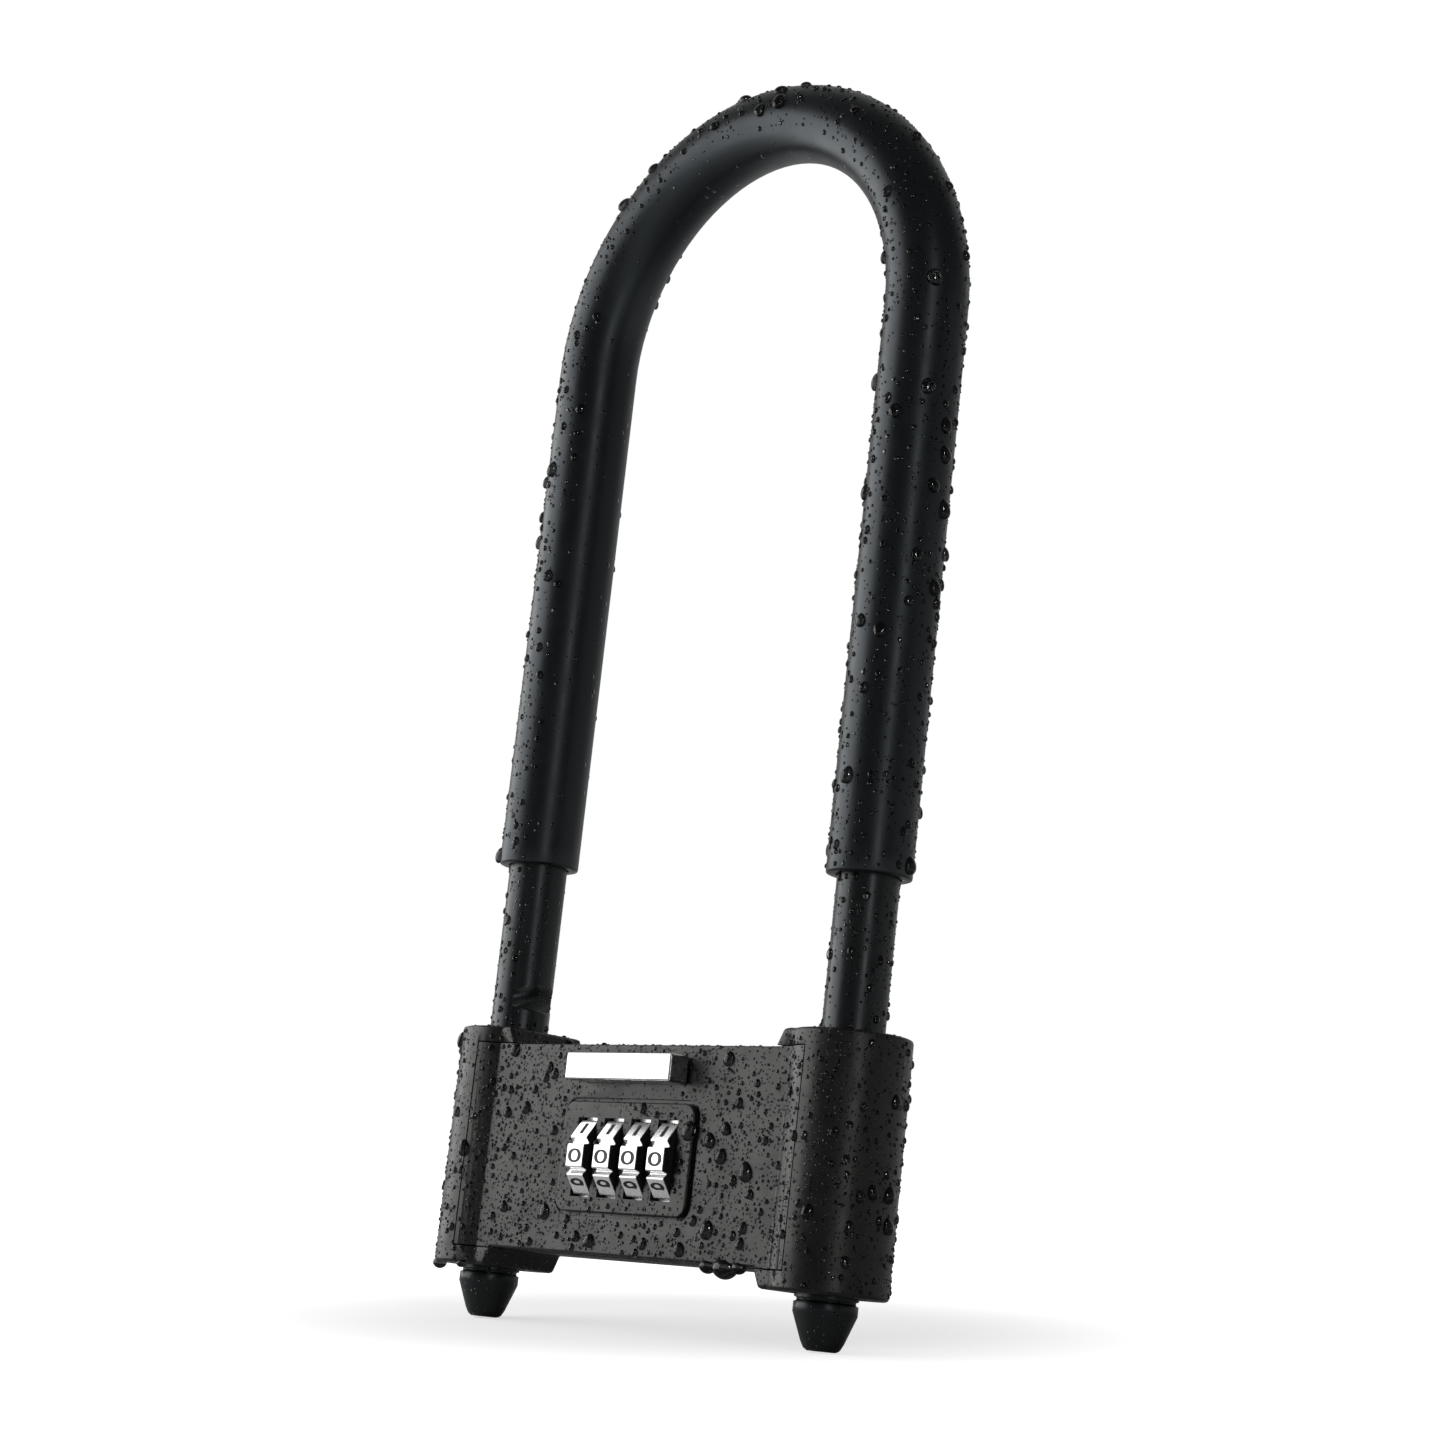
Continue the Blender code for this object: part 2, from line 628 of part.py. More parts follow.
def build_wheel(index, material):
    """One number wheel, which turns about X on its code sleeve."""
    name = f"number_wheel_{index + 1}"
    half = WHEEL_WIDTH / 2
    place = (wheel_x(index), WHEEL_Y, WHEEL_Z)
    wheel = add_piece(name, outline_mesh(name, wheel_outline(), -half, half, axis="X"),
                      material, place)
    round_edges(wheel, WHEEL_EDGE_ROUND, segments=1)
    bore = cylinder_mesh(name + "_bore", CODE_SLEEVE_RADIUS + GAP, -half - MM, half + MM,
                         axis="X")
    cut(wheel, add_cutter(name + "_bore", bore, place))
    smooth(wheel, angle=20.0)


def build_code_sleeve(index, material):
    """The sleeve inside a wheel, whose keyed flange lets a spindle fin pass at zero."""
    name = f"code_sleeve_{index + 1}"
    half = CODE_SLEEVE_WIDTH / 2
    place = (wheel_x(index), WHEEL_Y, WHEEL_Z)
    sleeve = add_piece(name, cylinder_mesh(
        name, CODE_SLEEVE_RADIUS, -half, half, axis="X", segments=MEDIUM_ROUND), material, place)
    flange = CODE_FLANGE / 2
    hole = cylinder_mesh(name + "_hole", CODE_SLEEVE_HOLE, -half - MM, half + MM,
                         axis="X", segments=MEDIUM_ROUND)
    cups = [cylinder_mesh(name + "_cup_left", CODE_SLEEVE_CUP, -half - MM, -flange,
                          axis="X", segments=SMALL_ROUND),
            cylinder_mesh(name + "_cup_right", CODE_SLEEVE_CUP, flange, half + MM,
                          axis="X", segments=SMALL_ROUND)]
    keyway = box_mesh(name + "_keyway", (-half - MM, -KEYWAY_HALF_WIDTH, 0.0),
                      (half + MM, KEYWAY_HALF_WIDTH, KEYWAY_HEIGHT))
    for mesh in (hole, *cups, keyway):
        cut(sleeve, add_cutter(mesh.name, mesh, place))
    smooth(sleeve)


def build_spindle(material):
    """The rod through the wheels, with one fin for each code sleeve."""
    centre = (WHEEL_Y, WHEEL_Z)
    left = ARM_RIGHT_X + GAP
    right = wheel_x(WHEELS - 1) + CODE_SLEEVE_WIDTH + SPINDLE_OVERHANG
    spindle = add_piece("code_spindle", cylinder_mesh(
        "code_spindle", SPINDLE_RADIUS, left, right, axis="X", segments=MEDIUM_ROUND, centre=centre),
        material)
    for index in range(WHEELS):
        x = wheel_x(index) + FIN_OFFSET
        fin = box_mesh(f"fin_{index}",
                       (x - FIN_THICKNESS / 2, WHEEL_Y - FIN_HALF_WIDTH, WHEEL_Z),
                       (x + FIN_THICKNESS / 2, WHEEL_Y + FIN_HALF_WIDTH,
                        WHEEL_Z + FIN_HEIGHT))
        boolean(spindle, "UNION", add_cutter(f"fin_{index}", fin))
    smooth(spindle)


def build_cradle(material):
    """The frame that holds the row of wheels: two cheeks and a floor."""
    inner = wheel_x(WHEELS - 1) + CODE_SLEEVE_WIDTH / 2 + GAP
    outer = inner + CRADLE_WALL
    floor = WHEEL_Z - WHEEL_RADIUS - 2 * GAP
    low = floor - CRADLE_WALL
    front = COVER_BACK_Y + 2 * GAP
    back = CAVITY_BACK_Y - GAP
    top = WHEEL_Z + WHEEL_RADIUS
    points = [(-outer, low), (outer, low), (outer, top), (inner, top), (inner, floor),
              (-inner, floor), (-inner, top), (-outer, top)]
    cradle = add_piece("wheel_cradle", outline_mesh("wheel_cradle", points, front, back,
                                                    axis="Y"), material)
    hole = cylinder_mesh("cradle_hole", SPINDLE_RADIUS + GAP, -outer - MM, outer + MM,
                         axis="X", segments=MEDIUM_ROUND, centre=(WHEEL_Y, WHEEL_Z))
    slot = box_mesh("cradle_fin_slot",
                    (-outer - MM, WHEEL_Y - KEYWAY_HALF_WIDTH, WHEEL_Z),
                    (outer + MM, WHEEL_Y + KEYWAY_HALF_WIDTH, WHEEL_Z + FIN_HEIGHT + GAP))
    cut(cradle, add_cutter("cradle_hole", hole), add_cutter("cradle_fin_slot", slot))
    smooth(cradle)


def build_detent_spring(material):
    """A leaf spring behind the wheels, with one bent finger for each wheel."""
    back = CAVITY_BACK_Y - GAP
    low = CAVITY_TOP - DETENT_HEIGHT
    top = CAVITY_TOP - GAP
    half = wheel_x(WHEELS - 1) + WHEEL_WIDTH / 2
    spring = add_piece("detent_spring", box_mesh(
        "detent_spring", (-half, back - DETENT_THICKNESS, low), (half, back, top)), material)
    for index in range(WHEELS):
        left = wheel_x(index) - FINGER_HALF_WIDTH
        right = wheel_x(index) + FINGER_HALF_WIDTH
        finger = box_mesh(f"finger_{index}", (left, back - DETENT_THICKNESS, DETENT_TOE_Z),
                          (right, back, low + MM))
        toe = box_mesh(f"toe_{index}", (left, back - DETENT_REACH, DETENT_TOE_Z),
                       (right, back - DETENT_THICKNESS / 2, DETENT_TOE_Z + DETENT_THICKNESS))
        boolean(spring, "UNION", add_cutter(f"finger_{index}", finger))
        boolean(spring, "UNION", add_cutter(f"toe_{index}", toe))


# ---------------------------------------------------------------- slider and bolt

def build_slider_knob(material):
    """The bright bar on the front, with the neck that reaches through the cover."""
    knob = add_piece("slider_knob", box_mesh(
        "slider_knob",
        (-SLIDER_HALF_WIDTH, SLIDER_FRONT_Y, SLIDER_Z - SLIDER_HALF_HEIGHT),
        (SLIDER_HALF_WIDTH, -WEB_HALF_DEPTH - GAP, SLIDER_Z + SLIDER_HALF_HEIGHT)), material)
    round_edges(knob, SLIDER_EDGE_ROUND, segments=3)
    neck = box_mesh("slider_neck",
                    (-NECK_HALF_WIDTH, -WEB_HALF_DEPTH - MM, SLIDER_Z - NECK_HALF_HEIGHT),
                    (NECK_HALF_WIDTH, CARRIAGE_FRONT_Y - GAP, SLIDER_Z + NECK_HALF_HEIGHT))
    boolean(knob, "UNION", add_cutter("slider_neck", neck))
    for index, x in enumerate(SLIDER_SCREW_X):
        hole = cylinder_mesh(f"knob_hole_{index}", SLIDER_SCREW_RADIUS + GAP / 2,
                             -WEB_HALF_DEPTH - 2 * MM, 0.0, axis="Y", segments=TINY_ROUND,
                             centre=(x, SLIDER_Z))
        cut(knob, add_cutter(f"knob_hole_{index}", hole))
    smooth(knob)


def build_carriage(material):
    """The plate behind the cover that joins the knob, the bolt and the spindle."""
    points = [
        (ARM_LEFT_X, CARRIAGE_FOOT_Z),
        (ARM_RIGHT_X, CARRIAGE_FOOT_Z),
        (ARM_RIGHT_X, CARRIAGE_BAR_BOTTOM_Z),
        (SLIDER_HALF_WIDTH, CARRIAGE_BAR_BOTTOM_Z),
        (SLIDER_HALF_WIDTH, CARRIAGE_BAR_TOP_Z),
        (ARM_LEFT_X, CARRIAGE_BAR_TOP_Z),
    ]
    carriage = add_piece("slider_carriage", outline_mesh(
        "slider_carriage", points, CARRIAGE_FRONT_Y, CARRIAGE_BACK_Y, axis="Y"), material)
    arm = box_mesh("carriage_arm", (ARM_LEFT_X, CARRIAGE_FRONT_Y + MM / 2, CARRIAGE_FOOT_Z),
                   (ARM_RIGHT_X, BOLT_HALF_DEPTH, CARRIAGE_ARM_TOP_Z))
    boolean(carriage, "UNION", add_cutter("carriage_arm", arm))
    for index, x in enumerate(SLIDER_SCREW_X):
        hole = cylinder_mesh(f"carriage_hole_{index}", SLIDER_SCREW_RADIUS + GAP / 2,
                             -WEB_HALF_DEPTH, 0.0, axis="Y", segments=TINY_ROUND,
                             centre=(x, SLIDER_Z))
        cut(carriage, add_cutter(f"carriage_hole_{index}", hole))
    smooth(carriage)


def build_slider_screws(material):
    """Two small screws that hold the knob on the carriage."""
    for index, x in enumerate(SLIDER_SCREW_X):
        name = f"slider_screw_{index + 1}"
        screw = add_piece(name, cylinder_mesh(
            name, SLIDER_SCREW_RADIUS - GAP / 2, -WEB_HALF_DEPTH - MM,
            CARRIAGE_BACK_Y + MM / 2, axis="Y", segments=TINY_ROUND, centre=(x, SLIDER_Z)), material)
        head_start = CARRIAGE_BACK_Y + GAP
        head = cylinder_mesh(name + "_head", SLIDER_SCREW_HEAD_RADIUS, head_start,
                             head_start + SLIDER_SCREW_HEAD_LENGTH, axis="Y",
                             segments=SMALL_ROUND, centre=(x, SLIDER_Z))
        boolean(screw, "UNION", add_cutter(name + "_head", head))
        smooth(screw)


def build_bolt(material):
    """The steel bolt, which slides along X into a notch of the left leg."""
    bolt = add_piece("lock_bolt", box_mesh(
        "lock_bolt",
        (BOLT_TIP_X, -BOLT_HALF_DEPTH, BOLT_Z - BOLT_HALF_HEIGHT),
        (ARM_LEFT_X - GAP, BOLT_HALF_DEPTH, BOLT_Z + BOLT_HALF_HEIGHT)), material)
    round_edges(bolt, BOLT_EDGE_ROUND)


# ---------------------------------------------------------------- build

clear_scene()
lock_collection = make_collection("u_lock")
cutter_collection = make_collection("u_lock_cutters")
frame_empty = bpy.data.objects.new("lock_frame", None)
frame_empty.location = (0.0, FRAME_SHIFT_Y, 0.0)
lock_collection.objects.link(frame_empty)

coated_steel = make_material("coated_steel", PAINT_BLACK, 0.4, 0.0)
painted_casting = make_material("painted_casting", PAINT_BLACK, 0.45, 0.0)
sleeve_rubber = make_material("sleeve_rubber", RUBBER_BLACK, 0.5, 0.0)
chrome = make_material("chrome", CHROME, 0.15, 1.0)
steel = make_material("steel", STEEL, 0.35, 1.0)
brass = make_material("brass", BRASS, 0.3, 1.0)
nylon = make_material("nylon", NYLON_BLACK, 0.5, 0.0)

build_shackle_rod(coated_steel)
build_shackle_sleeve(sleeve_rubber)
build_housing(painted_casting)
build_cover(painted_casting)
build_cover_screws(steel)
build_bushes(nylon)
for wheel_index in range(WHEELS):
    build_wheel(wheel_index, chrome)
    build_code_sleeve(wheel_index, brass)
build_spindle(steel)
build_cradle(nylon)
build_detent_spring(steel)
build_slider_knob(chrome)
build_carriage(steel)
build_slider_screws(steel)
build_bolt(steel)
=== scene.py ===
"""Looks of a combination U-lock: finer surfaces, materials, water drops, light and camera.

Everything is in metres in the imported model's frame: the legs run along +Z, the cover with the
number wheels faces -Y, and the tips of the shackle stand on the floor at z = 0.
"""

import json
import math

import bmesh
import bpy
import numpy as np
from mathutils import Matrix, Vector
from mathutils.bvhtree import BVHTree

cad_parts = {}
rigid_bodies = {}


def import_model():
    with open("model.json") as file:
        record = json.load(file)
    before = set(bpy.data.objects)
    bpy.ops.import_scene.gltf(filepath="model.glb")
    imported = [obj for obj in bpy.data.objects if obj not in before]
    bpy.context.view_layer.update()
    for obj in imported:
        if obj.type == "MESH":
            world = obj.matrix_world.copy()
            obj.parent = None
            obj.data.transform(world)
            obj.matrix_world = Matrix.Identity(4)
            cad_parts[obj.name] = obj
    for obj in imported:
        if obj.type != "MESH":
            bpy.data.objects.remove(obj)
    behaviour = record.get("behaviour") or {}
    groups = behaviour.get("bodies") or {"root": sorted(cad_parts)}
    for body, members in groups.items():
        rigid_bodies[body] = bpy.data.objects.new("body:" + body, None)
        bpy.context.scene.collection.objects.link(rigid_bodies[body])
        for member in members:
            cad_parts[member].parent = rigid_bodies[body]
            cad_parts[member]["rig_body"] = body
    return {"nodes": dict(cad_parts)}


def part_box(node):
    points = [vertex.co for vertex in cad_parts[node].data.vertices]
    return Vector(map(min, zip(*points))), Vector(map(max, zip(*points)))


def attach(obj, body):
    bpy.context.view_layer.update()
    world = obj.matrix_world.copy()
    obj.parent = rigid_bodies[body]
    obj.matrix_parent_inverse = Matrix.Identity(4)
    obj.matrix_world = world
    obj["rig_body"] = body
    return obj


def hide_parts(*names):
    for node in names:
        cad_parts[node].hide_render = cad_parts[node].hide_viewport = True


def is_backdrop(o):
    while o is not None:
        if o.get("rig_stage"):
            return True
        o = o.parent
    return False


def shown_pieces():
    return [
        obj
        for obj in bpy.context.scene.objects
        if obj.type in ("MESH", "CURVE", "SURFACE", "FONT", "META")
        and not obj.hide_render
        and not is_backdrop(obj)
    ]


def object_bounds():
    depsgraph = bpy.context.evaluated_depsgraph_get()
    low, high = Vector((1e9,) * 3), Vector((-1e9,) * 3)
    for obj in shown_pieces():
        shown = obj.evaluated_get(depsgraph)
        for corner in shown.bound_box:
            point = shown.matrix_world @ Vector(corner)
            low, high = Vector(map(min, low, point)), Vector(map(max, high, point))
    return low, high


MM = 0.001
WELD_DISTANCE = 0.001 * MM

# Camera: where it stands round the lock, and how it is held
CAMERA_BEARING = math.radians(46.5)      # from the front towards the lock's right
CAMERA_RISE = math.radians(11.32)        # it looks up by this much
CAMERA_ROLL = math.radians(6.34)
CAMERA_DISTANCE = 635.0 * MM
CAMERA_TARGET = Vector((0.5, 4.2, 121.2)) * MM
CAMERA_LENS = 78.9
CAMERA_SENSOR = 36.0
CAMERA_NEAREST = 10.0 * MM

# Floor: it leans up behind the lock, as if the lock leant back on its two tips
FLOOR_LEAN = math.radians(7.0)
FLOOR_DROP = 0.3 * MM
FLOOR_RADIUS = 3.0
FLOOR_SIDES = 64
FLOOR_BASE = 0.6
FLOOR_ROUGHNESS = 0.9
FLOOR_SHADE_MIDDLE = (-22.0 * MM, 30.0 * MM, 0.0)
FLOOR_FADE = (45.0 * MM, 140.0 * MM)     # where its shadows fade out into white
FLOOR_FADE_GLOW = (0.60, 1.0)
FLOOR_BOUNCE = (150.0 * MM, 450.0 * MM)  # where it starts to light the lock from below
FLOOR_BOUNCE_GLOW = (0.0, 0.35)

# Studio: how much the world glows, by how nearly straight behind the lock it lies
WORLD_FADE = (0.05, 0.75)
WORLD_GLOW = (0.09, 0.45)

# Lights: bearing and rise in degrees, distance, width and height in metres, and radiance
ROOM_LIGHTS = {
    "softbox_left": (-106.0, 8.0, 0.70, 0.90, 0.62, 2.4),
    "strip_front": (13.0, 10.0, 0.95, 0.07, 0.90, 5.5),
    "fill_right": (78.0, 4.0, 0.85, 0.75, 0.80, 0.16),
}
DROP_LIGHTS = {
    "glints": (6.0, 14.0, 0.95, 0.16, 0.22, 40.0),
}
WHEEL_LIGHTS = {
    "wheels_high": (-134.5, 45.0, 0.60, 0.45, 0.40, 2.0),
    "wheels_low": (-107.5, -36.0, 0.60, 0.45, 0.40, 2.0),
}

# Materials
WHITE = (1.0, 1.0, 1.0, 1.0)
NOISE_SPAN = (0.3, 0.7)                  # most of a noise's values lie in here
COATING_IOR = 1.5
PLASTIC_IOR = 1.5
WATER_IOR = 1.333
TONE_BLOB = 9.0 * MM                     # size of the wet surfaces' darker and lighter clouds
GLOSS_BLOB = 5.0 * MM
GRAIN_STRENGTH = 0.6
FILM_PATCH = 14.0 * MM                   # fine drops come in patches of this size
FILM_EDGE = (0.36, 0.46)                 # noise values over which a patch begins
FILM_LOWEST = 0.02                       # a fine drop's dome counts as water above this height
WATER_GLOSS = 0.05
# painted shade: the drops' colour is darkened to stand in for the sheen that the black loses
# under water
WATER_PAINTED_SHADE = 0.12
RIPPLE = (0.8 * MM, 0.01 * MM)           # size and height of the ripple on a drop's skin
RIPPLE_STRENGTH = 0.3
METAL_CLOUD = 2.0 * MM
METAL_GLOSS_BLOB = 1.6 * MM
METAL_STREAK = 0.25 * MM
METAL_STREAK_STRENGTH = 0.5
PLASTIC_DARK = (0.006, 0.006, 0.006, 1.0)
PLASTIC_LIGHT = (0.016, 0.016, 0.017, 1.0)
PLASTIC_CLOUD = 1.5 * MM
PLASTIC_GLOSS_BLOB = 2.5 * MM
PLASTIC_GLOSS_SPREAD = 0.08
PLASTIC_GRAIN = (0.2 * MM, 0.01 * MM)    # size and height

# Shading: an edge stays sharp where it turns by more than this, in degrees
NODE_SHARP = 33.0
SLEEVE_SHARP = 50.0
WHEEL_SHARP = 25.0
DROP_SHARP = 60.0

# Shackle sleeve
SLEEVE_STEP = 4.9 * MM                   # its left end stands this much higher than its right
SLEEVE_WALL = 1.9 * MM
SLEEVE_LIP = 0.4 * MM
SLEEVE_THINNING = 0.03                   # share of its radius lost over the bend
SLEEVE_SIDES = 64
SLEEVE_RINGS = 110

# Number wheels
DIGITS = 10
PAD_HALF_ANGLE = 13.0                    # degrees
PAD_STEPS = 2                            # points on each side of a pad's middle
GROOVE_STEPS = 4                         # steps from a groove's middle to its rim
GROOVE_DEPTH = 1.2 * MM
WHEEL_RADIUS = 9.5 * MM
WHEEL_BORE = 4.8 * MM
WHEEL_EDGE = 0.22 * MM
WHEEL_EDGE_STEPS = 2
WHEEL_EDGE_ANGLE = 30.0
WHEEL_SIDE_FACING = 0.7                  # a face that points along the axis this much is a side
DIGIT_SIZE = 3.8 * MM
DIGIT_STRETCH = 2.15
DIGIT_THICKNESS = 0.03 * MM
DIGIT_WEIGHT = 0.04 * MM

# Water
DROP_SEED = 11
DROP_CLASSES = (  # smallest and largest radius, sides, steps up the dome
    (0.90 * MM, 1.60 * MM, 16, 6),
    (0.50 * MM, 0.85 * MM, 10, 4),
    (0.30 * MM, 0.46 * MM, 8, 3),
    (0.17 * MM, 0.28 * MM, 6, 2),
)
DROPS_PER_MM2 = {  # of each class
    "front_cover": (0.013, 0.060, 0.20, 0.70),
    "lock_housing": (0.007, 0.038, 0.13, 0.32),
    "shackle_rod": (0.003, 0.035, 0.12, 0.25),
    "shackle_sleeve": (0.005, 0.026, 0.08, 0.20),
}
DRY_BELOW = 10.0 * MM                    # the tips, which stand out below the lock body
DRY_FACING_DOWN = -0.35                  # normals that point further down than this
DRY_INNER_SIDE_ABOVE = 60.0 * MM
DRY_INNER_FACING = 0.45                  # the left leg's normals that point at the right leg
COVER_FACING = -0.9                      # the cover's front has normals past this along Y
DRY_PATCHES = (  # left, right, bottom and top of smooth stretches of the cover
    (-15.0 * MM, 13.5 * MM, 43.3 * MM, 46.8 * MM),
    (-17.5 * MM, -1.0 * MM, 39.9 * MM, 42.9 * MM),
)
HANGING_DROPS = (  # x, y, height of the edge it hangs from, and radius
    (29.0 * MM, -6.8 * MM, 13.7 * MM, 2.6 * MM),
    (24.6 * MM, -7.0 * MM, 13.7 * MM, 1.8 * MM),
    (33.2 * MM, -7.4 * MM, 13.7 * MM, 1.5 * MM),
    (-54.0 * MM, -6.2 * MM, 10.1 * MM, 1.5 * MM),
    (-44.0 * MM, -9.0 * MM, 10.1 * MM, 1.0 * MM),
)
HANGING_MESH = (24, 16)                  # sides and rings
HANGING_WIDTH = 1.25                     # shares of the radius, at the top
HANGING_TAPER = 0.35
HANGING_DEPTH = 0.85
HANGING_LENGTH = 0.75
HANGING_BELOW = 0.25
DROP_SINK = 0.05 * MM
DROP_CELL = 3.6 * MM                     # wider than any two drops reach
DROP_SPACING = 1.1
DROP_HEIGHT = (0.62, 0.80)               # share of its radius
DROP_LEAN = 0.45                         # how far its top slips down an upright wall
DROP_STRETCH = 0.18
DROP_WOBBLE = (0.07, 0.04)               # how far its rim is from round, twice and thrice round
LEVEL_BELOW = 0.1                        # a surface less steep than this has no downhill
TIGHTEST_CURVE = 6.0 * MM
CLEAR_ABOVE_DROP = 30.0 * MM
RAY_START = 0.05 * MM
UNEVEN = 0.03 * MM                       # a drop's rim may miss the surface by this much more
EVEN_FACING = 0.75                       # and the surface there turns away no more than this


# ---------------------------------------------------------------- material nodes

def add_node(tree, kind, inputs=None, **settings):
    """Add a node; inputs are plain values, or sockets to link."""
    node = tree.nodes.new(kind)
    for name, value in settings.items():
        setattr(node, name, value)
    for name, value in (inputs or {}).items():
        if isinstance(value, bpy.types.NodeSocket):
            tree.links.new(value, node.inputs[name])
        else:
            node.inputs[name].default_value = value
    return node


def maths(tree, operation, first, second=0.0):
    """A Math node's output."""
    node = add_node(tree, "ShaderNodeMath", {0: first, 1: second}, operation=operation)
    return node.outputs[0]


def map_range(tree, value, low, high, to_low, to_high, kind="LINEAR"):
    """A Map Range node's output, held to its ends."""
    node = add_node(
        tree, "ShaderNodeMapRange",
        {"Value": value, "From Min": low, "From Max": high, "To Min": to_low, "To Max": to_high},
        interpolation_type=kind)
    return node.outputs["Result"]


def object_place(tree, stretch=(1.0, 1.0, 1.0)):
    """The piece's own coordinates, scaled along each axis."""
    place = add_node(tree, "ShaderNodeTexCoord").outputs["Object"]
    return add_node(tree, "ShaderNodeMapping", {"Vector": place, "Scale": stretch}).outputs[0]


def noise(tree, size, detail=3.0, stretch=(1.0, 1.0, 1.0)):
    """Noise whose blobs are about this big, in metres."""
    node = add_node(tree, "ShaderNodeTexNoise",
                    {"Vector": object_place(tree, stretch), "Scale": 1 / size, "Detail": detail})
    return node.outputs["Fac"]


def blend_colours(tree, share, first, second):
    """A colour that runs from the first to the second as share goes from 0 to 1."""
    node = add_node(tree, "ShaderNodeMix", {"Factor": share}, data_type="RGBA")
    for name, colour in (("A", first), ("B", second)):
        for socket in node.inputs:
            if socket.name == name and socket.type == "RGBA":
                socket.default_value = colour
    return [out for out in node.outputs if out.type == "RGBA"][0]


def bump(tree, height, distance, strength=1.0, normal=None):
    """A bumped normal; distance is how tall a height of one stands, in metres."""
    inputs = {"Height": height, "Distance": distance, "Strength": strength}
    if normal is not None:
        inputs["Normal"] = normal
    return add_node(tree, "ShaderNodeBump", inputs).outputs["Normal"]


def new_material(name, **values):
    """A material with a Principled shader; values are its plain inputs."""
    material = bpy.data.materials.new(name)
    material.use_nodes = True
    shader = material.node_tree.nodes["Principled BSDF"]
    for key, value in values.items():
        shader.inputs[key.replace("_", " ")].default_value = value
    return material, material.node_tree, shader


def fine_drops(tree, cell, largest):
    """Height and cover of drops too fine to model; largest is a radius as a share of a cell."""
    cells = add_node(tree, "ShaderNodeTexVoronoi",
                     {"Vector": object_place(tree), "Scale": 1 / cell})
    chance = add_node(tree, "ShaderNodeSeparateColor", {"Color": cells.outputs["Color"]})
    radius = maths(tree, "MULTIPLY", chance.outputs["Red"], largest)
    inside = maths(tree, "SUBTRACT", maths(tree, "POWER", radius, 2.0),
                   maths(tree, "POWER", cells.outputs["Distance"], 2.0))
    dome = maths(tree, "SQRT", maths(tree, "MAXIMUM", inside, 0.0))
    film = noise(tree, FILM_PATCH, detail=2.0)
    patches = map_range(tree, film, *FILM_EDGE, 0.0, 1.0, "SMOOTHSTEP")
    dome = maths(tree, "MULTIPLY", dome, patches)
    return dome, maths(tree, "GREATER_THAN", dome, FILM_LOWEST)


def connect(tree, shader, colour, gloss, normal):
    """Link a surface's colour, roughness and normal to its shader."""
    tree.links.new(colour, shader.inputs["Base Color"])
    tree.links.new(gloss, shader.inputs["Roughness"])
    tree.links.new(normal, shader.inputs["Normal"])


def wet_black(name, dark, light, sheen, gloss, grain, drops):
    """A black satin surface with a fine grain, uneven gloss, and fine drops of water on it.

    gloss runs from smooth to rough, grain is a size and a height, and drops are a cell's size
    and the largest radius."""
    material, tree, shader = new_material(name, IOR=COATING_IOR, Specular_Tint=(*sheen, 1.0))
    tone = noise(tree, TONE_BLOB, detail=4.0)
    colour = blend_colours(tree, tone, (*dark, 1.0), (*light, 1.0))
    dry_gloss = map_range(tree, noise(tree, GLOSS_BLOB, detail=5.0), *NOISE_SPAN, *gloss)
    cell, largest = drops
    dome, covered = fine_drops(tree, cell, largest)
    dry = maths(tree, "SUBTRACT", 1.0, covered)
    all_gloss = maths(tree, "ADD", maths(tree, "MULTIPLY", dry_gloss, dry),
                      maths(tree, "MULTIPLY", covered, WATER_GLOSS))
    grain_size, grain_height = grain
    normal = bump(tree, noise(tree, grain_size, detail=2.0), grain_height, GRAIN_STRENGTH)
    connect(tree, shader, colour, all_gloss, bump(tree, dome, cell, 1.0, normal))
    return material


def bright_metal(name, tint, gloss, streak, height, shade):
    """Bright plated or machined metal with fine streaks and a cloudy tone and gloss.

    streak shortens the noise along each axis, height is how tall the streaks stand, and shade
    is the darkest tone as a share of the tint."""
    material, tree, shader = new_material(name, Metallic=1.0)
    dull = (*(value * shade for value in tint), 1.0)
    colour = blend_colours(tree, noise(tree, METAL_CLOUD, detail=6.0), dull, (*tint, 1.0))
    cloudy = map_range(tree, noise(tree, METAL_GLOSS_BLOB, detail=6.0), *NOISE_SPAN, *gloss)
    streaks = noise(tree, METAL_STREAK, detail=3.0, stretch=streak)
    connect(tree, shader, colour, cloudy, bump(tree, streaks, height, METAL_STREAK_STRENGTH))
    return material


def moulded_black(name, roughness):
    """Black moulded plastic or paint with a fine even grain."""
    material, tree, shader = new_material(name, IOR=PLASTIC_IOR)
    cloud = noise(tree, PLASTIC_CLOUD, detail=4.0)
    colour = blend_colours(tree, cloud, PLASTIC_DARK, PLASTIC_LIGHT)
    gloss = map_range(tree, noise(tree, PLASTIC_GLOSS_BLOB, detail=4.0), *NOISE_SPAN,
                      roughness - PLASTIC_GLOSS_SPREAD, roughness + PLASTIC_GLOSS_SPREAD)
    grain_size, grain_height = PLASTIC_GRAIN
    grain = bump(tree, noise(tree, grain_size, detail=2.0), grain_height, GRAIN_STRENGTH)
    connect(tree, shader, colour, gloss, grain)
    return material


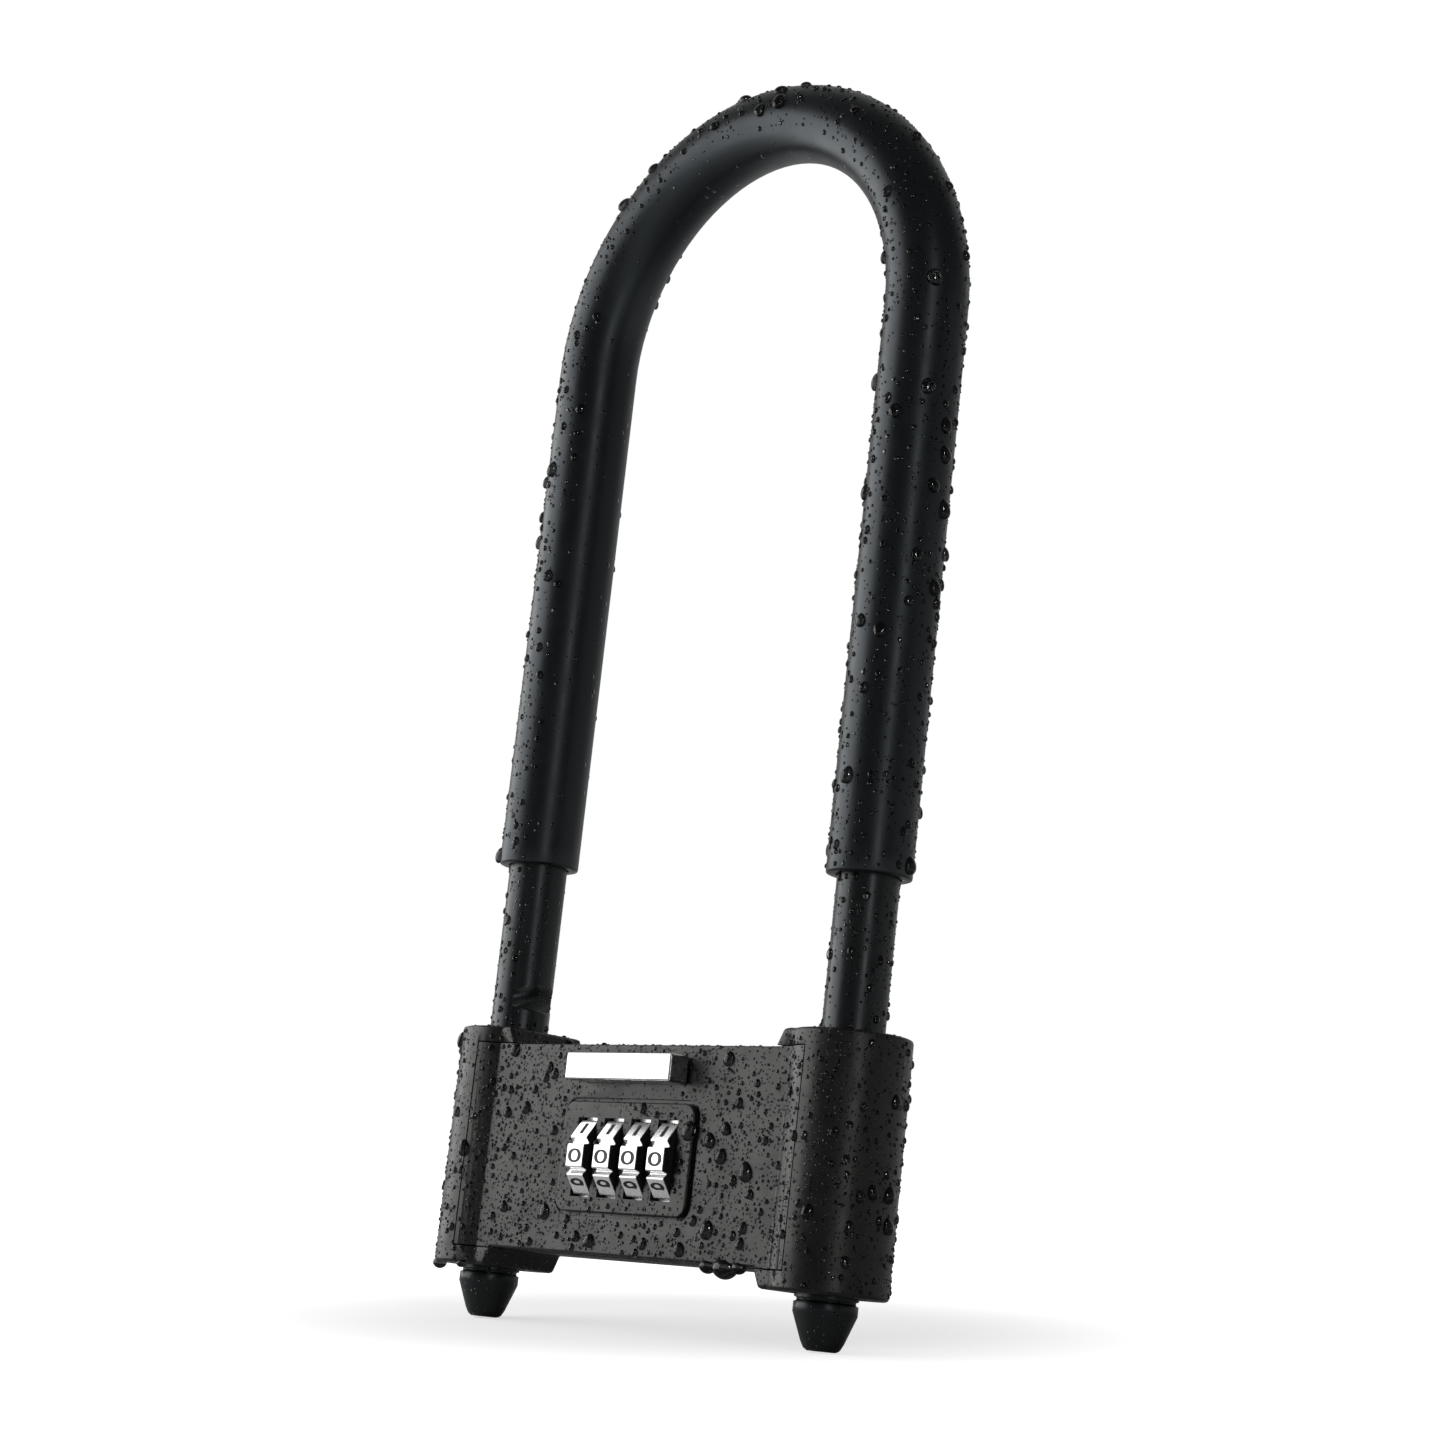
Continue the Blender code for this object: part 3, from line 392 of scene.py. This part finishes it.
def tinted_water(name):
    """Water with a very slight ripple on its skin.

    A drop's colour is darkened as painted shade: the black under water has no sheen of its own,
    and the dark colour stands in for that lost sheen."""
    material, tree, shader = new_material(name, IOR=WATER_IOR, Roughness=0.0)
    shader.inputs["Transmission Weight"].default_value = 1.0
    # painted shade: a dark base colour on clear water, standing in for the sheen the black
    # beneath loses
    shader.inputs["Base Color"].default_value = (WATER_PAINTED_SHADE, WATER_PAINTED_SHADE, WATER_PAINTED_SHADE, 1.0)
    ripple_size, ripple_height = RIPPLE
    ripple = bump(tree, noise(tree, ripple_size, detail=1.0), ripple_height, RIPPLE_STRENGTH)
    tree.links.new(ripple, shader.inputs["Normal"])
    return material


# ---------------------------------------------------------------- pieces

def add_piece(name, mesh, materials, body, replaces=()):
    """Put a mesh into the scene, on its body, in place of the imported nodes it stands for."""
    piece = bpy.data.objects.new(name, mesh)
    bpy.context.scene.collection.objects.link(piece)
    mesh.materials.clear()
    for material in materials:
        mesh.materials.append(material)
    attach(piece, body)
    if replaces:
        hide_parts(*replaces)
    return piece


def smooth_by_angle(mesh, degrees):
    """Shade smooth, with the sharper edges kept."""
    mesh.shade_smooth()
    mesh.set_sharp_from_angle(angle=math.radians(degrees))


def even_normals(piece):
    """Let the large flat faces keep flat shading beside their rounded edges."""
    modifier = piece.modifiers.new("even_normals", "WEIGHTED_NORMAL")
    modifier.keep_sharp = True


def soften_edges(piece, width, segments, degrees):
    """Round every edge that is sharper than the angle."""
    modifier = piece.modifiers.new("soften_edges", "BEVEL")
    modifier.width = width
    modifier.segments = segments
    modifier.limit_method = "ANGLE"
    modifier.angle_limit = math.radians(degrees)
    modifier.harden_normals = True


def welded_mesh(node):
    """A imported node's shape as one joined surface, with smooth shading on its round parts."""
    bm = bmesh.new()
    bm.from_mesh(frame["nodes"][node].data)
    bmesh.ops.remove_doubles(bm, verts=bm.verts, dist=WELD_DISTANCE)
    mesh = bpy.data.meshes.new(node + "_finish")
    bm.to_mesh(mesh)
    bm.free()
    smooth_by_angle(mesh, NODE_SHARP)
    return mesh


def finish_node(node, material):
    """Stand a smooth-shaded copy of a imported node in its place."""
    body = frame["nodes"][node]["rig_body"]
    piece = add_piece(node + "_finish", welded_mesh(node), [material], body, [node])
    even_normals(piece)
    return piece


def sleeve_station(distance, radius, start_z, leg_x, bend_z, middle_y):
    """One ring round the U's centre line, this far along it from the right leg's end."""
    straight = bend_z - start_z
    angle = min(max((distance - straight) / leg_x, 0.0), math.pi)
    outward = Vector((math.cos(angle), 0.0, math.sin(angle)))
    centre = Vector((0.0, middle_y, bend_z)) + outward * leg_x
    if distance < straight:
        centre.z = start_z + distance
    centre.z -= max(distance - straight - math.pi * leg_x, 0.0)
    thin = 1.0 - SLEEVE_THINNING * math.sin(angle)
    ring = []
    for side in range(SLEEVE_SIDES):
        turn = 2 * math.pi * side / SLEEVE_SIDES
        spoke = outward * math.cos(turn) + Vector((0.0, 1.0, 0.0)) * math.sin(turn)
        ring.append(centre + spoke * radius * thin)
    return ring


def sleeve_wall(length, outer):
    """Distance and radius of each ring: along the outside, round the lip, back along the bore."""
    inner = outer - SLEEVE_WALL
    steps = [SLEEVE_LIP + (length - 2 * SLEEVE_LIP) * k / SLEEVE_RINGS
             for k in range(SLEEVE_RINGS + 1)]
    corner = SLEEVE_LIP * (1 - math.sqrt(0.5))
    wall = [(step, outer) for step in steps]
    wall += [(length - corner, outer - corner), (length, outer - SLEEVE_LIP), (length, inner)]
    wall += [(step, inner) for step in reversed(steps)]
    wall += [(0.0, inner), (0.0, outer - SLEEVE_LIP), (corner, outer - corner)]
    return wall


def ring_mesh(name, rings):
    """Join rings of points into a closed surface whose last ring meets its first."""
    bm = bmesh.new()
    loops = [[bm.verts.new(point) for point in ring] for ring in rings]
    for loop, after in zip(loops, loops[1:] + loops[:1]):
        count = len(loop)
        for k in range(count):
            bm.faces.new((loop[k], loop[(k + 1) % count], after[(k + 1) % count], after[k]))
    bmesh.ops.recalc_face_normals(bm, faces=bm.faces)
    mesh = bpy.data.meshes.new(name)
    bm.to_mesh(mesh)
    bm.free()
    return mesh


def build_sleeve(material):
    """The rubber sleeve: a smooth tube over the bend, a little thinner where it is stretched."""
    low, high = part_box("shackle_sleeve")
    outer = (high.y - low.y) / 2
    middle_y = (high.y + low.y) / 2
    leg_x = high.x - outer
    bend_z = high.z - outer - leg_x
    right = bend_z - low.z
    left = right - SLEEVE_STEP
    length = right + math.pi * leg_x + left
    rings = [sleeve_station(distance, radius, low.z, leg_x, bend_z, middle_y)
             for distance, radius in sleeve_wall(length, outer)]
    mesh = ring_mesh("shackle_sleeve_finish", rings)
    smooth_by_angle(mesh, SLEEVE_SHARP)
    return add_piece("shackle_sleeve_finish", mesh, [material], "shackle",
                     ["shackle_sleeve"])


def wheel_outline(radius):
    """Angle and radius of each point round a wheel: flat pads with round grooves between."""
    groove_half = 180.0 / DIGITS - PAD_HALF_ANGLE
    flat = radius * math.cos(math.radians(PAD_HALF_ANGLE))
    points = []
    for digit in range(DIGITS):
        middle = 360.0 / DIGITS * digit
        for step in range(-PAD_STEPS, PAD_STEPS + 1):
            angle = step / PAD_STEPS * PAD_HALF_ANGLE
            points.append((middle + angle, flat / math.cos(math.radians(angle))))
        for step in range(1 - GROOVE_STEPS, GROOVE_STEPS):
            share = step / GROOVE_STEPS
            dip = GROOVE_DEPTH * math.cos(share * math.pi / 2) ** 2
            angle = middle + 180.0 / DIGITS + share * groove_half
            points.append((angle, radius - dip))
    return points


def wheel_ring(x, middle, outline):
    """The points of a wheel's outline, in the plane at this x."""
    ring = []
    for angle, reach in outline:
        turn = math.radians(angle)
        ring.append(Vector((x, middle.y - reach * math.cos(turn),
                            middle.z + reach * math.sin(turn))))
    return ring


def build_wheel(number, silver, black):
    """A number wheel: bright pads and grooves round black sides, and its ten digits."""
    node = f"number_wheel_{number}"
    low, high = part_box(node)
    middle = (low + high) / 2
    outside = wheel_outline(WHEEL_RADIUS)
    bore = [(angle, WHEEL_BORE) for angle, _ in outside]
    rings = [wheel_ring(x, middle, outline)
             for x, outline in ((low.x, outside), (high.x, outside), (high.x, bore),
                                (low.x, bore))]
    mesh = ring_mesh(node + "_finish", rings)
    smooth_by_angle(mesh, WHEEL_SHARP)
    body = f"wheel_{number}"
    wheel = add_piece(node + "_finish", mesh, [silver, black], body, [node])
    for face in mesh.polygons:
        spoke = Vector((0.0, face.center.y - middle.y, face.center.z - middle.z))
        in_bore = spoke.length < (WHEEL_BORE + WHEEL_RADIUS) / 2
        on_side = abs(face.normal.x) > WHEEL_SIDE_FACING
        face.material_index = 1 if on_side or in_bore else 0
    soften_edges(wheel, WHEEL_EDGE, WHEEL_EDGE_STEPS, WHEEL_EDGE_ANGLE)
    build_digits(number, middle, black)
    return wheel


def digit_mesh(digit):
    """One plain digit as a thin flat solid, centred, in the XY plane."""
    curve = bpy.data.curves.new(f"digit_{digit}", "FONT")
    curve.body = str(digit)
    curve.size = DIGIT_SIZE
    curve.align_x = "CENTER"
    curve.align_y = "CENTER"
    curve.extrude = DIGIT_THICKNESS
    curve.offset = DIGIT_WEIGHT
    holder = bpy.data.objects.new(f"digit_{digit}", curve)
    bpy.context.scene.collection.objects.link(holder)
    graph = bpy.context.evaluated_depsgraph_get()
    mesh = bpy.data.meshes.new_from_object(holder.evaluated_get(graph))
    bpy.data.objects.remove(holder, do_unlink=True)
    corners = [vertex.co for vertex in mesh.vertices]
    centre = Vector([(min(c[i] for c in corners) + max(c[i] for c in corners)) / 2
                     for i in range(3)])
    mesh.transform(Matrix.Diagonal((DIGIT_STRETCH, 1.0, 1.0, 1.0)) @ Matrix.Translation(-centre))
    return mesh


def build_digits(number, middle, ink):
    """The ten digits round a wheel: 0 in front, and each next one a tenth of a turn above."""
    flat = WHEEL_RADIUS * math.cos(math.radians(PAD_HALF_ANGLE))
    bm = bmesh.new()
    for digit in range(DIGITS):
        turn = math.radians(360.0 / DIGITS * digit)
        outward = Vector((0.0, -math.cos(turn), math.sin(turn)))
        upward = Vector((0.0, math.sin(turn), math.cos(turn)))
        across = upward.cross(outward)
        place = Matrix((across, upward, outward)).transposed().to_4x4()
        place.translation = middle + outward * flat
        mesh = digit_mesh(digit)
        mesh.transform(place)
        bm.from_mesh(mesh)
        bpy.data.meshes.remove(mesh)
    bmesh.ops.remove_doubles(bm, verts=bm.verts, dist=WELD_DISTANCE)
    mesh = bpy.data.meshes.new(f"wheel_digits_{number}")
    bm.to_mesh(mesh)
    bm.free()
    add_piece(f"wheel_digits_{number}", mesh, [ink], f"wheel_{number}")


# ---------------------------------------------------------------- water drops

def shape_arrays(piece):
    """A piece's corners and triangles, with its modifiers, as arrays."""
    graph = bpy.context.evaluated_depsgraph_get()
    evaluated = piece.evaluated_get(graph)
    mesh = evaluated.to_mesh()
    mesh.calc_loop_triangles()
    corners = np.zeros(len(mesh.vertices) * 3)
    mesh.vertices.foreach_get("co", corners)
    triangles = np.zeros(len(mesh.loop_triangles) * 3, int)
    mesh.loop_triangles.foreach_get("vertices", triangles)
    evaluated.to_mesh_clear()
    return corners.reshape(-1, 3), triangles.reshape(-1, 3)


def tree_of_shown_pieces():
    """One search tree of every shown piece's triangles."""
    corners, triangles, count = [], [], 0
    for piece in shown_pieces():
        points, faces = shape_arrays(piece)
        corners.append(points)
        triangles.append(faces + count)
        count += len(points)
    return BVHTree.FromPolygons(np.concatenate(corners).tolist(),
                                np.concatenate(triangles).tolist())


def scatter(piece, per_mm2, chance):
    """Random places on a piece, even over its area, with the face's normal at each."""
    corners, triangles = shape_arrays(piece)
    first, second, third = (corners[triangles[:, k]] for k in range(3))
    crosses = np.cross(second - first, third - first)
    areas = np.linalg.norm(crosses, axis=1) / 2
    count = int(areas.sum() / MM ** 2 * per_mm2)
    picks = chance.choice(len(areas), size=count, p=areas / areas.sum())
    a, b = chance.random((2, count, 1))
    flip = a + b > 1
    a, b = np.where(flip, 1 - a, a), np.where(flip, 1 - b, b)
    places = first[picks] + a * (second - first)[picks] + b * (third - first)[picks]
    return places, crosses[picks] / (2 * areas[picks, None])


def is_dry(place, normal):
    """True on the tips and undersides, inside the left leg, and on the cover's smooth patches."""
    if place.z < DRY_BELOW or normal.z < DRY_FACING_DOWN:
        return True
    if place.x < 0.0 and normal.x > DRY_INNER_FACING and place.z > DRY_INNER_SIDE_ABOVE:
        return True
    if normal.y > COVER_FACING:
        return False
    return any(left < place.x < right and bottom < place.z < top
               for left, right, bottom, top in DRY_PATCHES)


def has_room(tree, place, normal, radius):
    """True if a drop here lies on one even stretch of surface with open air above it."""
    place, normal = Vector(place), Vector(normal)
    if is_dry(place, normal):
        return False
    if tree.ray_cast(place + normal * RAY_START, normal, CLEAR_ABOVE_DROP)[0] is not None:
        return False
    widest_gap = radius ** 2 / TIGHTEST_CURVE + UNEVEN
    side = normal.orthogonal().normalized()
    for reach in (side, -side, normal.cross(side), -normal.cross(side)):
        _, facing, _, gap = tree.find_nearest(place + reach * radius)
        if gap > widest_gap or facing.dot(normal) < EVEN_FACING:
            return False
    return True


def keep_apart(taken, place, radius):
    """True, and the place is taken, if no other drop is too near."""
    key = tuple(int(math.floor(value / DROP_CELL)) for value in place)
    around = [(key[0] + i, key[1] + j, key[2] + k)
              for i in (-1, 0, 1) for j in (-1, 0, 1) for k in (-1, 0, 1)]
    for near in around:
        for other, reach in taken.get(near, ()):
            if np.linalg.norm(place - other) < DROP_SPACING * (radius + reach):
                return False
    taken.setdefault(key, []).append((place, radius))
    return True


def drop_directions(normals):
    """How steep the surface is under each drop, and its directions downhill and across."""
    fall = np.array((0.0, 0.0, -1.0)) - normals * -normals[:, 2:3]
    steep = np.linalg.norm(fall, axis=1, keepdims=True)
    spare = np.cross(normals, (1.0, 0.0, 0.0))
    along = np.where(steep > LEVEL_BELOW, fall, spare)
    along /= np.linalg.norm(along, axis=1, keepdims=True)
    return steep, along, np.cross(normals, along)


def drop_faces(sides, steps):
    """Faces of one drop: rings from its foot up the dome, a fan round the top, and a base."""
    faces = []
    for ring in range(steps):
        for k in range(sides):
            after = (k + 1) % sides
            faces.append((ring * sides + k, ring * sides + after,
                          (ring + 1) * sides + after, (ring + 1) * sides + k))
    last = steps * sides
    faces += [(last + k, last + (k + 1) % sides, last + sides) for k in range(sides)]
    faces.append(tuple(range(sides - 1, -1, -1)))
    return faces


def drop_points(places, normals, radii, sides, steps, chance):
    """Points of round drops that sag a little on upright walls, ring by ring and then the top."""
    count = len(places)
    steep, along, across = drop_directions(normals)
    big = np.clip(radii / MM, 0.0, 1.0)[:, None, None]
    height = radii[:, None, None] * chance.uniform(*DROP_HEIGHT, (count, 1, 1))
    lean = DROP_LEAN * steep[:, :, None] * big
    stretch = 1.0 + DROP_STRETCH * steep[:, :, None] * big
    ups = np.radians(np.linspace(0.0, 90.0, steps + 1))[:-1]
    spokes = 2 * np.pi * np.arange(sides) / sides
    phase = chance.uniform(0, 2 * np.pi, (2, count, 1, 1))
    twice, thrice = DROP_WOBBLE
    wobble = (1 + twice * np.cos(2 * spokes + phase[0])
              + thrice * np.cos(3 * spokes + phase[1]))
    foot = DROP_SINK + radii[:, None, None] ** 2 / (2 * TIGHTEST_CURVE)
    reach = np.concatenate(([1.0], np.cos(ups)))[None, :, None] * radii[:, None, None] * wobble
    rise = np.concatenate((-foot, height * np.sin(ups)[None, :, None]), axis=1)
    down = reach * np.cos(spokes) * stretch + lean * np.maximum(rise, 0.0)
    out = reach * np.sin(spokes)
    level = rise * np.ones_like(out)
    shape = (down[..., None] * along[:, None, None, :]
             + out[..., None] * across[:, None, None, :]
             + level[..., None] * normals[:, None, None, :]
             + places[:, None, None, :])
    tops = places + along * (lean * height)[:, 0] + normals * height[:, 0]
    return np.concatenate((shape.reshape(count, -1, 3), tops[:, None, :]), axis=1)


def build_drops(piece, node, tree, water):
    """Drops of every class over one piece, largest first, as one piece of water."""
    chance = np.random.default_rng(DROP_SEED + len(node))
    corners, polygons, taken = [], [], {}
    shares = zip(DROP_CLASSES, DROPS_PER_MM2[node])
    for (smallest, largest, sides, steps), per_mm2 in shares:
        places, normals = scatter(piece, per_mm2, chance)
        radii = smallest + (largest - smallest) * chance.random(len(places)) ** 2
        kept = [k for k in range(len(places))
                if has_room(tree, places[k], normals[k], radii[k])
                and keep_apart(taken, places[k], radii[k])]
        if not kept:
            continue
        faces = drop_faces(sides, steps)
        points = drop_points(places[kept], normals[kept], radii[kept], sides, steps, chance)
        for drop in points:
            start = len(corners)
            corners.extend(drop.tolist())
            polygons.extend(tuple(start + k for k in face) for face in faces)
    mesh = bpy.data.meshes.new("drops_on_" + node)
    mesh.from_pydata(corners, [], polygons)
    smooth_by_angle(mesh, DROP_SHARP)
    return add_piece("drops_on_" + node, mesh, [water], piece["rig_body"])


def build_hanging_drops(water):
    """A few large drops that hang from the lower edges of the lock body."""
    bm = bmesh.new()
    sides, rings = HANGING_MESH
    for x, y, edge, radius in HANGING_DROPS:
        grown = bmesh.ops.create_uvsphere(bm, u_segments=sides, v_segments=rings, radius=radius)
        for vertex in grown["verts"]:
            depth = 0.5 - vertex.co.z / (2 * radius)
            vertex.co.x *= HANGING_WIDTH - HANGING_TAPER * depth
            vertex.co.y *= HANGING_DEPTH
            vertex.co.z = HANGING_LENGTH * vertex.co.z - HANGING_BELOW * radius
            vertex.co += Vector((x, y, edge))
    mesh = bpy.data.meshes.new("hanging_drops")
    bm.to_mesh(mesh)
    bm.free()
    mesh.shade_smooth()
    return add_piece("hanging_drops", mesh, [water], "lock_body")


# ---------------------------------------------------------------- light and camera

def bearing_vector(bearing, rise=0.0):
    """A unit vector away from the lock; bearing is from the front towards the lock's right."""
    return Vector((math.sin(bearing) * math.cos(rise), -math.cos(bearing) * math.cos(rise),
                   math.sin(rise)))


def add_light(name, setting, target):
    """A soft area light aimed at the target; its bearing is measured from the camera's."""
    bearing, rise, distance, width, height, radiance = setting
    light = bpy.data.lights.new(name, "AREA")
    light.shape = "RECTANGLE"
    light.size = width
    light.size_y = height
    light.energy = radiance * math.pi * width * height
    holder = bpy.data.objects.new(name, light)
    bpy.context.scene.collection.objects.link(holder)
    away = bearing_vector(CAMERA_BEARING + math.radians(bearing), math.radians(rise))
    holder.location = target + away * distance
    holder.rotation_euler = (-away).to_track_quat("-Z", "Y").to_euler()
    return holder


def light_only(light, pieces):
    """Let a light reach only these pieces, and nothing else stand in its way."""
    linked = bpy.data.collections.new(light.name + "_pieces")
    for piece in pieces:
        linked.objects.link(piece)
    light.light_linking.receiver_collection = linked
    light.light_linking.blocker_collection = linked


def make_world():
    """A white backdrop behind the lock that fades to a dark studio in front of it."""
    world = bpy.data.worlds.new("studio")
    bpy.context.scene.world = world
    world.use_nodes = True
    tree = world.node_tree
    background = tree.nodes["Background"]
    way = add_node(tree, "ShaderNodeTexCoord").outputs["Generated"]
    behind = -bearing_vector(CAMERA_BEARING)
    facing = add_node(tree, "ShaderNodeVectorMath", {0: way, 1: tuple(behind)},
                      operation="DOT_PRODUCT").outputs["Value"]
    glow = map_range(tree, facing, *WORLD_FADE, *WORLD_GLOW, "SMOOTHSTEP")
    seen = add_node(tree, "ShaderNodeLightPath").outputs["Is Camera Ray"]
    tree.links.new(maths(tree, "MAXIMUM", glow, seen), background.inputs["Strength"])
    background.inputs["Color"].default_value = WHITE


def make_floor():
    """A plain pale floor that is lit to white, so that only soft shadows show on it."""
    bm = bmesh.new()
    bmesh.ops.create_circle(bm, cap_ends=True, radius=FLOOR_RADIUS, segments=FLOOR_SIDES)
    mesh = bpy.data.meshes.new("floor")
    bm.to_mesh(mesh)
    bm.free()
    floor = bpy.data.objects.new("floor", mesh)
    floor.rotation_euler.x = FLOOR_LEAN
    floor.location.z = -FLOOR_DROP
    bpy.context.scene.collection.objects.link(floor)
    material, tree, shader = new_material("floor_white", Roughness=FLOOR_ROUGHNESS)
    shader.inputs["Base Color"].default_value = (FLOOR_BASE, FLOOR_BASE, FLOOR_BASE, 1.0)
    shader.inputs["Emission Color"].default_value = WHITE
    away = add_node(tree, "ShaderNodeVectorMath", {0: object_place(tree), 1: FLOOR_SHADE_MIDDLE},
                    operation="DISTANCE").outputs["Value"]
    fade = map_range(tree, away, *FLOOR_FADE, *FLOOR_FADE_GLOW, "SMOOTHSTEP")
    seen = add_node(tree, "ShaderNodeLightPath").outputs["Is Camera Ray"]
    bounce = map_range(tree, away, *FLOOR_BOUNCE, *FLOOR_BOUNCE_GLOW, "SMOOTHSTEP")
    glow = maths(tree, "MAXIMUM", maths(tree, "MULTIPLY", fade, seen), bounce)
    tree.links.new(glow, shader.inputs["Emission Strength"])
    mesh.materials.append(material)
    floor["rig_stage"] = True


def make_camera():
    """The camera, held a little rolled, near the floor and looking up."""
    data = bpy.data.cameras.new("camera")
    data.lens = CAMERA_LENS
    data.sensor_width = CAMERA_SENSOR
    data.clip_start = CAMERA_NEAREST
    camera = bpy.data.objects.new("camera", data)
    bpy.context.scene.collection.objects.link(camera)
    back = bearing_vector(CAMERA_BEARING, -CAMERA_RISE)
    level_right = Vector((math.cos(CAMERA_BEARING), math.sin(CAMERA_BEARING), 0.0))
    level_up = back.cross(level_right)
    right = level_right * math.cos(CAMERA_ROLL) + level_up * math.sin(CAMERA_ROLL)
    up = back.cross(right)
    matrix = Matrix((right, up, back)).transposed().to_4x4()
    matrix.translation = CAMERA_TARGET + back * CAMERA_DISTANCE
    camera.matrix_world = matrix
    bpy.context.scene.camera = camera


# ---------------------------------------------------------------- the lock

def make_looks():
    """Every material on the lock, by name."""
    return {
        "paint": wet_black(
            "wet_black_paint", dark=(0.003, 0.003, 0.003), light=(0.007, 0.0068, 0.0065),
            sheen=(1.0, 0.99, 0.97), gloss=(0.30, 0.44), grain=(0.5 * MM, 0.014 * MM),
            drops=(0.75 * MM, 0.40)),
        "coating": wet_black(
            "wet_black_coating", dark=(0.003, 0.003, 0.0035), light=(0.006, 0.006, 0.0065),
            sheen=(0.90, 0.97, 1.0), gloss=(0.28, 0.38), grain=(0.18 * MM, 0.006 * MM),
            drops=(1.1 * MM, 0.36)),
        "rubber": wet_black(
            "wet_black_rubber", dark=(0.003, 0.003, 0.0035), light=(0.005, 0.005, 0.006),
            sheen=(0.82, 0.94, 1.0), gloss=(0.32, 0.40), grain=(0.3 * MM, 0.006 * MM),
            drops=(2.2 * MM, 0.24)),
        "chrome": bright_metal(
            "chrome", tint=(0.80, 0.80, 0.79), gloss=(0.14, 0.30), streak=(1.0, 1.0, 3.0),
            height=0.004 * MM, shade=0.70),
        "silver": bright_metal(
            "wheel_silver", tint=(0.95, 0.95, 0.95), gloss=(0.22, 0.34), streak=(4.0, 1.0, 1.0),
            height=0.003 * MM, shade=0.90),
        "steel": bright_metal(
            "plain_steel", tint=(0.45, 0.45, 0.46), gloss=(0.30, 0.45), streak=(1.0, 1.0, 6.0),
            height=0.004 * MM, shade=0.82),
        "brass": bright_metal(
            "plain_brass", tint=(0.62, 0.45, 0.18), gloss=(0.25, 0.40), streak=(6.0, 1.0, 1.0),
            height=0.004 * MM, shade=0.82),
        "nylon": moulded_black("black_nylon", 0.45),
        "ink": moulded_black("black_ink", 0.50),
        "water": tinted_water("water_on_black"),
    }


def add_lights(settings, target, pieces=()):
    """Lights from a table; with pieces given, they reach only those."""
    for name, setting in settings.items():
        light = add_light(name, setting, target)
        if pieces:
            light_only(light, pieces)


for old in list(bpy.data.objects):
    bpy.data.objects.remove(old, do_unlink=True)
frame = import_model()
cad_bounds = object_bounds()
lock_middle = (cad_bounds[0] + cad_bounds[1]) / 2
wheels_middle = sum((sum(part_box(f"number_wheel_{k}"), Vector()) for k in (1, 4)), Vector()) / 4

bpy.context.scene.view_settings.view_transform = "Standard"
make_camera()
make_world()
make_floor()
add_lights(ROOM_LIGHTS, lock_middle)
looks = make_looks()

housing = finish_node("lock_housing", looks["paint"])
cover = finish_node("front_cover", looks["paint"])
rod = finish_node("shackle_rod", looks["coating"])
sleeve = build_sleeve(looks["rubber"])
finish_node("slider_knob", looks["chrome"])
finish_node("lock_bolt", looks["steel"])
wheels = []
for number in (1, 2, 3, 4):
    wheels.append(build_wheel(number, looks["silver"], looks["ink"]))
    finish_node(f"cover_screw_{number}", looks["steel"])
    finish_node(f"code_sleeve_{number}", looks["brass"])
for part in ("code_spindle", "slider_carriage", "slider_screw_1", "slider_screw_2",
             "detent_spring"):
    finish_node(part, looks["steel"])
for part in ("leg_bush_upper_left", "leg_bush_lower_left", "leg_bush_upper_right",
             "leg_bush_lower_right", "wheel_cradle"):
    finish_node(part, looks["nylon"])

shown = tree_of_shown_pieces()
drops = [
    build_drops(cover, "front_cover", shown, looks["water"]),
    build_drops(housing, "lock_housing", shown, looks["water"]),
    build_drops(rod, "shackle_rod", shown, looks["water"]),
    build_drops(sleeve, "shackle_sleeve", shown, looks["water"]),
    build_hanging_drops(looks["water"]),
]
add_lights(DROP_LIGHTS, lock_middle, drops)
add_lights(WHEEL_LIGHTS, wheels_middle, wheels)
